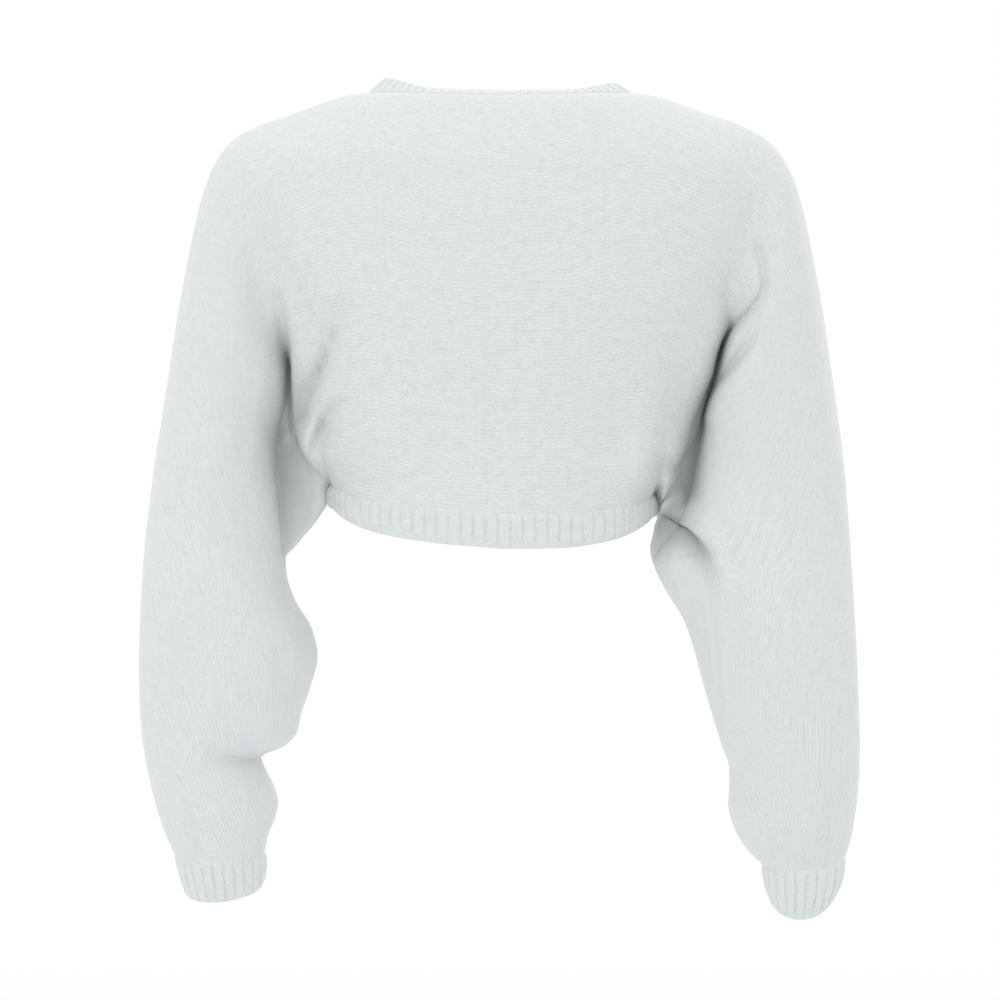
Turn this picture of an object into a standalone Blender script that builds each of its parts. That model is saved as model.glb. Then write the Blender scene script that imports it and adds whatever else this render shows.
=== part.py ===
"""A cropped batwing cardigan in melange knit, filled out as worn, with nobody in it.

Metres, +Z up. The front faces -Y and the left sleeve is at +X. The origin is where the wearer carries
it: midway between the shoulders, at the height of the neck seam. Tables are in millimetres.
"""

import math

import bmesh
import bpy
import numpy as np

# Driving dimensions, in millimetres
CLOTH_WALL = 2.4
RIB_WALL = 2.4
RIB_RAISE = 1.3
SEAM_GAP = 0.3
BAND_SEAM_GAP = 0.45
HEM_RIB_PITCH = 9.6
NECK_RIB_PITCH = 7.8
CUFF_RIB_PITCH = 8.8
HEM_CENTRE_X = 6.0
HEM_HALF_WIDTH = 129.0
CENTRE_SHIFT_HEIGHT = 300.0
TORSO_ROUNDNESS = 2.2
BODY_ARM_SHARE = 0.3
HEM_BACK_DEPTH = 84.0
HEM_FRONT_DEPTH = 98.0
HEM_BAND_MIDDLE = 27.0
HEM_BAND_SIDE = 17.0
HEM_BAND_CURVE = 4
HEM_SIDE_GAP = 0.9
HEM_SIDE_DROP = {"left": 0.0, "right": 7.0}
NECK_POINT_X = 104.0
NECK_POINT_Y = 14.0
SHOULDER_ROUNDING = {"back": 62.0, "front": 60.0}
FORM_BLEND = 15.0
FOLD_FADE_DEPTH = 30.0
SEAM_ROUNDING = 0.12
HEM_BLEND_FROM = 0.7
FULL_SIDE_WIDTH = 12.0
FULL_SIDE_FROM = 60.0
FULL_SIDE_PLACE = (-303.0, 20.0)
WEB_ROOM = 0.75
WEB_EDGE = 0.45
ACROSS_STEPS = 16
HEM_FADE_TOP = -322.0
HEM_FADE_DEPTH = 24.0

MILLIMETRE = 0.001
COLLECTION = "cardigan"

# Cross-sections of the cloth round the body, a row for each height.
TORSO_COLUMNS = ("z", "half_width", "back_depth", "front_depth")
TORSO_ROWS = (
    (-370.0, 129.0, 84.0, 98.0),
    (-335.0, 129.0, 84.0, 98.0),
    (-312.0, 133.0, 85.0, 103.0),
    (-284.0, 146.0, 88.0, 110.0),
    (-244.0, 159.0, 94.0, 118.0),
    (-210.0, 173.0, 98.5, 121.0),
    (-160.0, 200.0, 102.0, 115.0),
    (-110.0, 222.0, 100.0, 99.0),
    (-60.0, 236.0, 90.0, 76.0),
    (-30.0, 240.0, 80.0, 56.0),
    (20.0, 240.0, 66.0, 44.0),
)

# Height of the shoulder line, a row for each distance from the middle.
SHOULDER_COLUMNS = ("x", "z")
SHOULDER_ROWS = (
    (0.0, -5.0),
    (52.0, -3.5),
    (104.0, 0.0),
    (120.0, -0.8),
    (144.0, -8.0),
    (168.0, -16.5),
    (192.0, -24.5),
    (206.0, -31.5),
    (224.0, -47.0),
    (236.0, -70.0),
    (245.0, -101.0),
    (260.0, -180.0),
)

# Sections through the body, from the middle to the shoulder: x on the shoulder line and how far back that
# line lies, then x from the hem's middle and the height of the hem seam. The hem's side is at x 129.
BODY_COLUMNS = ("top_x", "top_y", "top_z", "hem_x", "low_z", "steps")
BACK_BODY_ROWS = (
    (0.0, 48.0, -5.0, 0.0, -335.0, 3),
    (52.0, 43.0, -3.5, 47.0, -334.0, 3),
    (104.0, 14.0, 0.0, 92.0, -328.0, 1),
    (124.0, 8.0, -2.0, 104.5, -325.0, 1),
    (144.0, 4.0, -8.0, 115.0, -321.0, 1),
    (164.0, 2.0, -15.0, 124.0, -316.5, 1),
)
FRONT_BODY_ROWS = (
    (30.0, 14.0, -262.0, 29.0, -331.0, 1),
    (32.5, 14.0, -236.0, 33.0, -331.0, 2),
    (41.0, 14.0, -203.0, 42.0, -330.5, 1),
    (54.5, 14.0, -158.0, 55.0, -330.0, 1),
    (68.5, 14.0, -114.0, 66.5, -329.0, 1),
    (82.0, 14.0, -70.0, 77.0, -327.5, 2),
    (95.0, 14.0, -30.0, 87.0, -325.5, 2),
    (104.0, 14.0, 0.0, 94.0, -324.0, 1),
    (124.0, 8.0, -2.0, 105.5, -321.5, 1),
    (144.0, 4.0, -8.0, 115.0, -319.0, 1),
    (164.0, 2.0, -15.0, 124.0, -315.5, 1),
)

# Sections that fan out from the hem's side, from the shoulder down to the sleeve. closing is 0.5 where the
# section is open below and 1 where it is a whole tube, arm_share is the arm's part of the section, and
# web_forward is how far the web between arm and body lies forward of the middle.
FAN_COLUMNS = ("top_x", "top_z", "low_x", "low_z", "closing", "arm_share", "tube", "web_forward", "steps")
SLEEVE_COLUMNS = ("top_x", "top_z", "low_x", "low_z", "tube", "forward", "tilt", "seam_turn")

# What a section has where its table leaves it out.
PLAIN_ROW = {
    "top_y": 0.0, "closing": 1.0, "arm_share": 1.0, "tube": 0.0, "web_forward": 0.0, "forward": 0.0,
    "tilt": 0.0, "seam_turn": 1.0, "is_body": 0.0, "steps": 1,
}

LEFT_FAN_ROWS = (
    (180.0, -20.5, 135.0, -312.0, 0.5, 0.30, 20.0, 0.0, 1),
    (206.0, -31.5, 137.2, -315.0, 0.62, 0.40, 38.0, 0.0, 1),
    (224.0, -47.0, 137.6, -319.0, 0.72, 0.55, 48.0, 7.0, 1),
    (236.0, -70.0, 137.8, -323.5, 0.80, 0.60, 54.0, 12.0, 1),
    (245.0, -101.0, 138.8, -328.5, 0.87, 0.64, 58.0, 16.0, 1),
    (252.0, -134.0, 141.6, -333.0, 0.92, 0.66, 60.0, 18.0, 1),
    (259.0, -171.0, 145.0, -338.0, 0.96, 0.67, 60.0, 19.0, 1),
    (266.0, -217.0, 150.0, -345.0, 1.0, 0.70, 59.0, 18.0, 1),
    (272.0, -258.0, 157.0, -353.0, 1.0, 0.78, 58.0, 15.0, 2),
    (277.0, -294.0, 164.0, -361.5, 1.0, 0.87, 57.0, 9.0, 2),
    (280.5, -328.0, 171.5, -371.0, 1.0, 0.96, 56.0, 3.0, 2),
)
LEFT_SLEEVE_ROWS = (
    (283.5, -358.0, 170.5, -384.0, 55.0, 2.0, 0.0, 1.0),
    (286.0, -394.0, 164.0, -404.0, 55.0, 3.0, 0.0, 1.0),
    (287.6, -424.0, 150.0, -428.0, 55.0, 2.0, 0.0, 1.0),
    (288.6, -450.0, 145.8, -449.0, 54.0, 0.0, 0.0, 1.0),
    (288.8, -474.0, 152.0, -474.0, 53.0, -4.0, 0.0, 1.0),
    (288.4, -495.0, 160.0, -497.0, 51.0, -8.0, 0.0, 1.0),
    (287.5, -510.0, 163.0, -511.0, 49.0, -12.0, 0.01, 1.0),
    (286.5, -521.0, 172.0, -521.0, 47.0, -14.0, 0.02, 1.0),
    (285.0, -531.0, 192.5, -531.0, 46.0, -17.0, 0.03, 1.0),
    (283.0, -543.0, 187.5, -544.0, 46.0, -20.0, 0.04, 1.0),
    (280.0, -558.0, 181.5, -557.0, 45.0, -23.0, 0.05, 1.0),
    (277.0, -571.0, 179.0, -569.5, 43.0, -26.0, 0.06, 1.0),
    (273.0, -584.0, 182.0, -582.0, 40.0, -29.0, 0.08, 1.0),
    (268.0, -598.0, 188.0, -597.0, 36.0, -32.0, 0.09, 1.0),
    (262.4, -609.6, 190.4, -609.6, 33.0, -34.0, 0.10, 1.0),
)
LEFT_CUFF_ROWS = (
    (262.4, -609.6, 190.4, -609.6, 33.0, -34.0, 0.10, 1.0),
    (258.8, -624.0, 190.2, -621.0, 32.5, -37.0, 0.14, 1.0),
    (253.5, -639.0, 192.5, -632.5, 30.0, -41.0, 0.20, 1.0),
)

RIGHT_FAN_ROWS = (
    (180.0, -19.5, 123.0, -319.0, 0.5, 0.30, 20.0, 0.0, 1),
    (206.0, -31.5, 125.2, -322.0, 0.62, 0.40, 38.0, 0.0, 1),
    (224.0, -46.0, 125.6, -325.5, 0.72, 0.48, 48.0, 7.0, 1),
    (236.0, -66.0, 125.8, -329.5, 0.80, 0.57, 54.0, 12.0, 1),
    (245.0, -95.0, 125.8, -333.5, 0.87, 0.65, 58.0, 16.0, 1),
    (252.0, -128.0, 125.6, -338.0, 0.92, 0.71, 60.0, 18.0, 1),
    (259.0, -164.0, 124.4, -343.0, 0.96, 0.75, 60.0, 19.0, 1),
    (265.0, -205.0, 123.0, -348.5, 1.0, 0.78, 59.0, 18.0, 1),
    (270.5, -246.0, 121.6, -355.0, 1.0, 0.83, 58.0, 15.0, 2),
    (275.0, -286.0, 120.2, -361.0, 1.0, 0.90, 57.0, 9.0, 2),
    (278.0, -326.0, 120.6, -368.0, 1.0, 0.97, 57.0, 3.0, 2),
)
RIGHT_SLEEVE_ROWS = (
    (280.0, -362.0, 124.0, -379.0, 56.0, 2.0, 0.0, 1.0),
    (282.0, -394.0, 133.5, -398.0, 56.0, 3.0, 0.0, 1.0),
    (283.6, -420.0, 147.0, -420.0, 55.0, 2.0, 0.0, 1.0),
    (285.2, -446.0, 156.0, -446.0, 54.0, 0.0, 0.0, 1.0),
    (286.6, -472.0, 163.0, -472.0, 52.0, -4.0, 0.0, 1.0),
    (288.0, -500.0, 171.5, -500.0, 50.0, -9.0, 0.0, 0.93),
    (288.8, -522.0, 178.5, -522.0, 48.0, -13.0, 0.02, 0.82),
    (288.8, -540.0, 184.5, -540.0, 47.0, -17.0, 0.03, 0.775),
    (288.2, -556.0, 184.8, -556.0, 46.0, -21.0, 0.05, 0.735),
    (287.0, -570.0, 184.0, -570.0, 45.0, -24.0, 0.06, 0.67),
    (285.4, -583.0, 187.0, -583.0, 43.0, -27.0, 0.08, 0.635),
    (283.4, -595.0, 192.5, -596.0, 39.0, -29.0, 0.09, 0.62),
    (281.0, -604.0, 202.0, -608.5, 35.0, -31.0, 0.10, 0.62),
    (278.4, -612.0, 212.8, -618.4, 31.5, -33.0, 0.12, 0.63),
)
RIGHT_CUFF_ROWS = (
    (278.4, -612.0, 212.8, -618.4, 31.5, -33.0, 0.12, 1.0),
    (276.5, -627.0, 214.5, -634.0, 31.0, -36.0, 0.16, 1.0),
    (266.0, -648.0, 220.5, -649.0, 28.0, -40.0, 0.24, 1.0),
)

# Largest folds, each a path in the plane of the back (x, z). width and depth are across the fold, where a
# depth below 0 is a ridge, and start and end are the shares of its depth at the path's two ends.
PATHS = {
    "left_sleeve_lip": (
        (190, -88), (184, -138), (175.5, -180), (172, -208), (170, -240), (167, -266), (156, -292),
    ),
    "left_web_valley": ((162, -278), (156, -292), (151, -308), (138.5, -328)),
    "left_torso_lip": (
        (124, -146), (128, -176), (136, -206), (145, -226), (154, -244), (158, -260), (158, -274),
    ),
    "left_short_crease": ((129, -251), (140, -258), (146, -266), (147.5, -276), (150, -288)),
    "left_lobe": ((166, -168), (162, -196), (160, -226), (162, -252)),
    "left_roll": ((160, -396), (152, -420), (151, -448), (160, -478)),
    "left_notch": ((186, -533), (214, -527), (240, -520)),
    "right_torso_lip": (
        (-199, -128), (-202, -156), (-195, -168), (-182, -179), (-172.6, -193), (-166.4, -208), (-161, -236),
        (-156, -259), (-149, -277), (-138, -300), (-128, -326),
    ),
    "right_sleeve_fold": ((-190, -205), (-182, -217), (-175, -229), (-168, -243), (-162, -262)),
    "right_roll": ((-136, -323), (-142, -329), (-153, -338), (-161, -350), (-163, -364), (-162, -380)),
    "right_seam_dip": ((-190, -542), (-208, -572), (-226, -600)),
    "right_outer_trough": ((-272, -556), (-264, -590), (-258, -606)),
    "front_left_crease": ((188, -120), (172, -180), (160, -240), (150, -290)),
    "front_left_side": ((120, -170), (136, -220), (146, -262)),
    "front_right_crease": ((-190, -116), (-176, -172), (-162, -236), (-146, -292)),
    "front_right_side": ((-112, -186), (-130, -228), (-142, -270)),
    "front_right_elbow": ((-170, -410), (-206, -396), (-246, -402)),
}
FOLD_COLUMNS = ("path", "face", "width", "depth", "start", "end")
FOLD_ROWS = (
    ("left_sleeve_lip", "back", 11.0, 15.0, 0.15, 0.8),
    ("left_web_valley", "back", 10.0, 9.0, 0.8, 0.4),
    ("left_torso_lip", "back", 9.0, 11.0, 0.1, 1.0),
    ("left_short_crease", "back", 8.0, 11.0, 0.2, 1.0),
    ("left_lobe", "back", 9.0, -9.0, 0.1, 0.8),
    ("left_roll", "back", 10.0, 5.0, 0.4, 0.5),
    ("left_notch", "back", 9.0, 7.0, 1.0, 0.0),
    ("right_torso_lip", "back", 10.0, 17.0, 0.3, 0.7),
    ("right_sleeve_fold", "back", 9.0, 7.0, 0.2, 1.0),
    ("right_roll", "back", 11.0, 9.0, 0.8, 0.2),
    ("right_seam_dip", "back", 8.0, 4.0, 0.6, 0.8),
    ("right_outer_trough", "back", 9.0, 4.0, 0.3, 0.8),
    ("front_left_crease", "front", 13.0, 15.0, 0.2, 0.8),
    ("front_left_side", "front", 11.0, 8.0, 0.2, 1.0),
    ("front_right_crease", "front", 12.0, 14.0, 0.2, 0.8),
    ("front_right_side", "front", 11.0, 9.0, 0.2, 1.0),
    ("front_right_elbow", "front", 12.0, 6.0, 1.0, 0.2),
)
PATH_POINTS = 40

# One rib as shares of its pitch and of its raise: a narrow groove and a broad back.
RIB_PROFILE = ((0.0, 0.0), (0.22, 1.0), (0.78, 1.0))
CUFF_RING_STEPS = 24

# The rib strip round the neck and down the fronts, a row for each place along it, from the middle of the
# back neck to the foot of a front edge: how far its free edge lies above, inward of and in front of
# its seam, and how far it follows the chest instead.
BAND_DROP = {"left": 0.0, "right": 0.3}
BAND_DROP_FROM = 0.15
BAND_COLUMNS = ("at", "rise", "inward", "forward", "on_chest")
BAND_ROWS = (
    (0.00, 5.8, 0.0, 22.0, 0.0),
    (0.10, 6.4, 3.0, 21.0, 0.0),
    (0.14, 8.6, 6.0, 19.5, 0.0),
    (0.18, 12.0, 11.0, 16.5, 0.0),
    (0.225, 14.6, 16.0, 11.0, 0.0),
    (0.26, 14.0, 18.5, 8.0, 0.1),
    (0.31, 12.0, 21.0, 3.0, 0.6),
    (0.42, 9.0, 22.0, 0.0, 1.0),
    (0.62, 7.0, 22.5, 0.0, 1.0),
    (0.74, 2.0, 23.5, 0.0, 1.0),
    (1.00, 0.0, 24.0, 0.0, 1.0),
)


def named(columns, rows):
    """The rows as dictionaries, by column name."""
    return [dict(zip(columns, row)) for row in rows]


def steady(at, places, values):
    """A smooth curve through the table's points that never overshoots them."""
    places = np.asarray(places, float)
    values = np.asarray(values, float)
    run = np.diff(places)
    slope = np.diff(values) / run
    tangent = np.zeros_like(values)
    tangent[0] = slope[0]
    tangent[-1] = slope[-1]
    for i in range(1, len(values) - 1):
        if slope[i - 1] * slope[i] > 0:
            weight_before = 2 * run[i] + run[i - 1]
            weight_after = run[i] + 2 * run[i - 1]
            total = weight_before + weight_after
            tangent[i] = total / (weight_before / slope[i - 1] + weight_after / slope[i])
    at = np.clip(np.asarray(at, float), places[0], places[-1])
    i = np.clip(np.searchsorted(places, at, side="right") - 1, 0, len(run) - 1)
    t = (at - places[i]) / run[i]
    near = values[i] * (1 + 2 * t) * (1 - t) ** 2 + values[i + 1] * t**2 * (3 - 2 * t)
    return near + run[i] * (tangent[i] * t * (1 - t) ** 2 - tangent[i + 1] * t**2 * (1 - t))


def from_table(at, columns, rows, key, name):
    """The named column at the given places of the key column."""
    table = named(columns, rows)
    return steady(at, [row[key] for row in table], [row[name] for row in table])


def smooth_step(share):
    share = np.clip(share, 0.0, 1.0)
    return share * share * (3 - 2 * share)


def smooth_largest(first, second, blend):
    return 0.5 * (first + second + np.sqrt((first - second) ** 2 + blend**2))


def round_start(share):
    """A quarter of an ellipse: 0 at 0 and 1 from 1 on."""
    share = np.clip(share, 0.0, 1.0)
    return np.sqrt(1 - (1 - share) ** 2)


def hem_depth(x, face):
    """How far the hem seam lies behind or in front of the hem's side, as half an ellipse."""
    depth = HEM_BACK_DEPTH if face == "back" else HEM_FRONT_DEPTH
    share = np.clip(np.abs(x - HEM_CENTRE_X) / HEM_HALF_WIDTH, 0.0, 1.0)
    return depth * np.sqrt(1 - share**2)


def torso_depth(x, z, face):
    """Depth of the cloth round the body at this place of the plane, and how far the shoulder has rounded."""
    half_width = from_table(z, TORSO_COLUMNS, TORSO_ROWS, "z", "half_width")
    depth = from_table(z, TORSO_COLUMNS, TORSO_ROWS, "z", face + "_depth")
    shoulder = from_table(np.abs(x), SHOULDER_COLUMNS, SHOULDER_ROWS, "x", "z")
    height, reach = FULL_SIDE_PLACE
    fuller = FULL_SIDE_WIDTH * np.exp(-(((z - height) / reach) ** 2)) * smooth_step(-x / FULL_SIDE_FROM)
    half_width = half_width + fuller
    centre = HEM_CENTRE_X * smooth_step(-z / CENTRE_SHIFT_HEIGHT)
    side = np.clip(np.abs(x - centre) / half_width, 0.0, 1.0)
    rise = round_start((shoulder - z) / SHOULDER_ROUNDING[face])
    return depth * np.sqrt(1 - side**TORSO_ROUNDNESS) * rise, rise


def smooth_path(points, count):
    """Points on a smooth curve through a path's own points."""
    points = np.asarray(points, float)
    along = np.concatenate([[0.0], np.cumsum(np.hypot(*np.diff(points, axis=0).T))])
    at = np.linspace(0.0, along[-1], count)
    return np.stack([steady(at, along, points[:, 0]), steady(at, along, points[:, 1])], axis=1)


def fold_depth(x, z, face):
    """How far the folds of this face sink the cloth at each place of the plane."""
    sunk = np.zeros_like(x)
    for fold in named(FOLD_COLUMNS, FOLD_ROWS):
        if fold["face"] != face:
            continue
        path = smooth_path(PATHS[fold["path"]], PATH_POINTS)
        gaps = np.hypot(x[..., None] - path[:, 0], z[..., None] - path[:, 1])
        nearest = gaps.argmin(axis=-1)
        share = nearest / (PATH_POINTS - 1)
        ease = np.interp(share, (0.0, 0.5, 1.0), (fold["start"], 1.0, fold["end"]))
        sunk += fold["depth"] * ease * np.exp(-((gaps.min(axis=-1) / fold["width"]) ** 2))
    return sunk


def sections_of(side, face):
    """This side's sections from the middle to the cuff seam, with x to this side and each value named."""
    body = named(BODY_COLUMNS, BACK_BODY_ROWS if face == "back" else FRONT_BODY_ROWS)
    fan = named(FAN_COLUMNS, LEFT_FAN_ROWS if side > 0 else RIGHT_FAN_ROWS)
    sleeve = named(SLEEVE_COLUMNS, LEFT_SLEEVE_ROWS if side > 0 else RIGHT_SLEEVE_ROWS)
    rows = []
    for row in body:
        share = row["hem_x"] / HEM_HALF_WIDTH
        low = {"low_x": row["hem_x"] + side * HEM_CENTRE_X * share}
        drop = HEM_SIDE_DROP["left" if side > 0 else "right"]
        low["low_z"] = row["low_z"] - drop * share**2
        rows.append({**PLAIN_ROW, "closing": 0.5, "arm_share": BODY_ARM_SHARE, "is_body": 1.0, **row, **low})
    rows += [{**PLAIN_ROW, **row} for row in fan + sleeve]
    for row in rows:
        row["top_x"] *= side
        row["low_x"] *= side
    return rows


def resampled(rows):
    """The rows with the steps that each asks for put in between, on smooth curves."""
    along = [0.0]
    for before, after in zip(rows, rows[1:]):
        top_run = math.hypot(after["top_x"] - before["top_x"], after["top_z"] - before["top_z"])
        low_run = math.hypot(after["low_x"] - before["low_x"], after["low_z"] - before["low_z"])
        along.append(along[-1] + 0.5 * (top_run + low_run))
    places = []
    for i, row in enumerate(rows[:-1]):
        places += [along[i] + (along[i + 1] - along[i]) * k / row["steps"] for k in range(row["steps"])]
    places.append(along[-1])
    names = [name for name in rows[0] if name not in ("hem_x", "steps", "is_body")]
    curves = {name: steady(places, along, [row[name] for row in rows]) for name in names}
    side_place = along[[row["is_body"] for row in rows].index(0.0)]
    curves["is_body"] = np.where(np.asarray(places) < side_place - 1e-6, 1.0, 0.0)
    return [{name: float(values[i]) for name, values in curves.items()} for i in range(len(places))]


def ring_points(row, turn, face):
    """Points of one section, by turn: 0 on the over-arm line and 1 at the hem or the underarm."""
    angle = math.pi * row["closing"]
    share = (1 - np.cos(angle * turn)) / (1 - math.cos(angle))
    x = row["top_x"] + (row["low_x"] - row["top_x"]) * share
    z = row["top_z"] + (row["low_z"] - row["top_z"]) * share
    torso, rise = torso_depth(x, z, face)
    if not row["is_body"]:
        torso = torso * smooth_step((z - HEM_FADE_TOP + HEM_FADE_DEPTH) / HEM_FADE_DEPTH)
    arm_part = np.clip(share / row["arm_share"], 0.0, 1.0)
    arm = row["tube"] * np.sqrt(4 * arm_part * (1 - arm_part))
    depth = smooth_largest(torso, arm, FORM_BLEND * (rise if row["is_body"] else 1.0))
    sunk = fold_depth(x, z, face)
    depth = depth - np.where(sunk > 0, sunk * smooth_step(depth / FOLD_FADE_DEPTH), sunk)
    if row["is_body"]:
        target = hem_depth(row["low_x"], face)
        depth = depth + (target - depth[-1]) * smooth_step((turn - HEM_BLEND_FROM) / (1 - HEM_BLEND_FROM))
    else:
        depth = depth * round_start(turn / SEAM_ROUNDING) * round_start((1 - turn) / SEAM_ROUNDING)
    outward = 1.0 if face == "back" else -1.0
    room = np.maximum(torso_depth(x, z, "back")[0] / HEM_BACK_DEPTH, arm / max(row["tube"], 1.0))
    web = smooth_step(1 - room / WEB_ROOM) * smooth_step((1 - turn) / WEB_EDGE)
    y = row["forward"] - row["web_forward"] * web + row["top_y"] * (1 - rise) + outward * depth
    z = z - row["tilt"] * outward * depth
    return np.stack([x, y, z], axis=1)


def section(row, face):
    """The panel's points on this section, from the over-arm line to its lower seam."""
    if face == "back":
        return ring_points(row, np.linspace(0.0, row["seam_turn"], ACROSS_STEPS + 1), "back")
    turn = np.linspace(0.0, 2.0 - row["seam_turn"], ACROSS_STEPS + 1)
    own = ring_points(row, np.minimum(turn, 1.0), "front")
    beyond = ring_points(row, np.clip(2.0 - turn, 0.0, 1.0), "back")
    return np.where(turn[:, None] <= 1.0, own, beyond)


def away_from_edge(points, gap):
    """The grid with its two long edges drawn in by a gap."""
    points = points.copy()
    for edge, inner in ((0, 1), (-1, -2)):
        way = points[:, inner] - points[:, edge]
        points[:, edge] += gap * way / np.linalg.norm(way, axis=1, keepdims=True)
    return points


def grid_normals(grid, outward):
    """Unit normals of a grid of points; outward says which of the two sides is out."""
    along = np.gradient(grid, axis=0)
    across = np.gradient(grid, axis=1)
    normal = np.cross(along, across)
    length = np.linalg.norm(normal, axis=2, keepdims=True)
    return outward * normal / np.maximum(length, 1e-9)


def wall_faces(rows, columns):
    """Quads of a closed wall over a grid: outer face, inner face and the four rims."""
    def outer(i, j):
        return i * columns + j

    def inner(i, j):
        return rows * columns + i * columns + j

    faces = []
    for i in range(rows - 1):
        for j in range(columns - 1):
            faces.append((outer(i, j), outer(i + 1, j), outer(i + 1, j + 1), outer(i, j + 1)))
            faces.append((inner(i, j), inner(i, j + 1), inner(i + 1, j + 1), inner(i + 1, j)))
    for i in range(rows - 1):
        last = columns - 1
        faces.append((outer(i, 0), inner(i, 0), inner(i + 1, 0), outer(i + 1, 0)))
        faces.append((outer(i, last), outer(i + 1, last), inner(i + 1, last), inner(i, last)))
    for j in range(columns - 1):
        last = rows - 1
        faces.append((outer(0, j), outer(0, j + 1), inner(0, j + 1), inner(0, j)))
        faces.append((outer(last, j), inner(last, j), inner(last, j + 1), outer(last, j + 1)))
    return faces


def add_object(name, points, faces, material):
    """A mesh object in the garment's collection, its faces pointing out."""
    mesh = bpy.data.meshes.new(name)
    mesh.from_pydata([tuple(point) for point in np.asarray(points) * MILLIMETRE], [], faces)
    solid = bmesh.new()
    solid.from_mesh(mesh)
    bmesh.ops.recalc_face_normals(solid, faces=solid.faces)
    solid.to_mesh(mesh)
    solid.free()
    mesh.shade_smooth()
    mesh.set_sharp_from_angle(angle=math.radians(50))
    mesh.materials.append(material)
    obj = bpy.data.objects.new(name, mesh)
    bpy.data.collections[COLLECTION].objects.link(obj)
    return obj


def knit_material(name, colour, roughness):
    material = bpy.data.materials.new(name)
    material.use_nodes = True
    shader = material.node_tree.nodes["Principled BSDF"]
    shader.inputs["Base Color"].default_value = (*colour, 1.0)
    shader.inputs["Roughness"].default_value = roughness
    shader.inputs["Metallic"].default_value = 0.0
    return material


def panel_grids():
    """Outer points and normals of the three panels."""
    grids = {}
    for side, name in ((1, "left"), (-1, "right")):
        part = {}
        for face in ("back", "front"):
            part[face + "_rows"] = resampled(sections_of(side, face))
            part[face] = np.array([section(row, face) for row in part[face + "_rows"]])
        grids[name] = part
    return grids


def shared_normals(back, front, front_start, side, closed_from):
    """Normals of both halves of the rings that meet on the over-arm line, smooth across the seams.

    front_start is the first section of the front that shares the over-arm line, and closed_from the first
    section, counted from there, whose lower ends meet.
    """
    count = min(len(back), len(front) - front_start)
    ring = np.concatenate([front[-count:, ::-1], back[-count:, 1:]], axis=1)
    along = np.gradient(ring, axis=0)
    across = np.gradient(ring, axis=1)
    wrapped = ring[closed_from:, 1] - ring[closed_from:, -2]
    across[closed_from:, 0] = wrapped
    across[closed_from:, -1] = wrapped
    normal = np.cross(along, across)
    normal *= side / np.maximum(np.linalg.norm(normal, axis=2, keepdims=True), 1e-9)
    half = front.shape[1] - 1
    return normal[:, half:], normal[:, half::-1]


def wall_points(outer, normals, wall):
    return np.concatenate([outer.reshape(-1, 3), (outer - wall * normals).reshape(-1, 3)])


def build_panels(material):
    """The back and the two fronts. Returns each side's grids and normals, for the rib bands to join."""
    grids = panel_grids()
    half_gap = SEAM_GAP / 2
    for side, name in ((1, "left"), (-1, "right")):
        part = grids[name]
        rows = part["front_rows"]
        shoulder = next(i for i, row in enumerate(rows) if abs(row["top_x"]) >= NECK_POINT_X - 0.1)
        first_closed = next(i for i, row in enumerate(rows) if not row["is_body"])
        shared = len(rows) - shoulder
        part["back_normals"] = grid_normals(part["back"], side)
        part["front_normals"] = grid_normals(part["front"], -side)
        joined = shared_normals(part["back"], part["front"], shoulder, side, first_closed - shoulder)
        part["back_normals"][-shared:] = joined[0]
        part["front_normals"][-shared:] = joined[1]
        part["shoulder"] = shoulder
        part["side"] = first_closed
        grid = away_from_edge(part["front"], half_gap)
        points = wall_points(grid, part["front_normals"], CLOTH_WALL)
        add_object("front_" + name, points, wall_faces(*grid.shape[:2]), material)
    left, right = grids["left"], grids["right"]
    grid = np.concatenate([right["back"][::-1], left["back"][1:]])
    middle = right["back_normals"][:1] + left["back_normals"][:1]
    middle /= np.linalg.norm(middle, axis=2, keepdims=True)
    normals = np.concatenate([right["back_normals"][:0:-1], middle, left["back_normals"][1:]])
    grid = away_from_edge(grid, half_gap)
    add_object("back", wall_points(grid, normals, CLOTH_WALL), wall_faces(*grid.shape[:2]), material)
    left["back_normals"][:1] = middle
    right["back_normals"][:1] = middle
    return grids


def unit(vectors):
    return vectors / np.maximum(np.linalg.norm(vectors, axis=-1, keepdims=True), 1e-9)


def at_shares(line, shares, closed=False):
    """A line's values (rows of points or normals) at shares of its length, measured on its first row."""
    if closed:
        line = np.concatenate([line, line[:1]])
    first = line[:, 0, :3]
    along = np.concatenate([[0.0], np.cumsum(np.linalg.norm(np.diff(first, axis=0), axis=1))])
    places = np.asarray(shares) * along[-1]
    flat = line.reshape(len(line), -1)
    values = np.stack([np.interp(places, along, flat[:, k]) for k in range(flat.shape[1])], axis=1)
    return values.reshape(len(places), *line.shape[1:]), along[-1]


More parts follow.
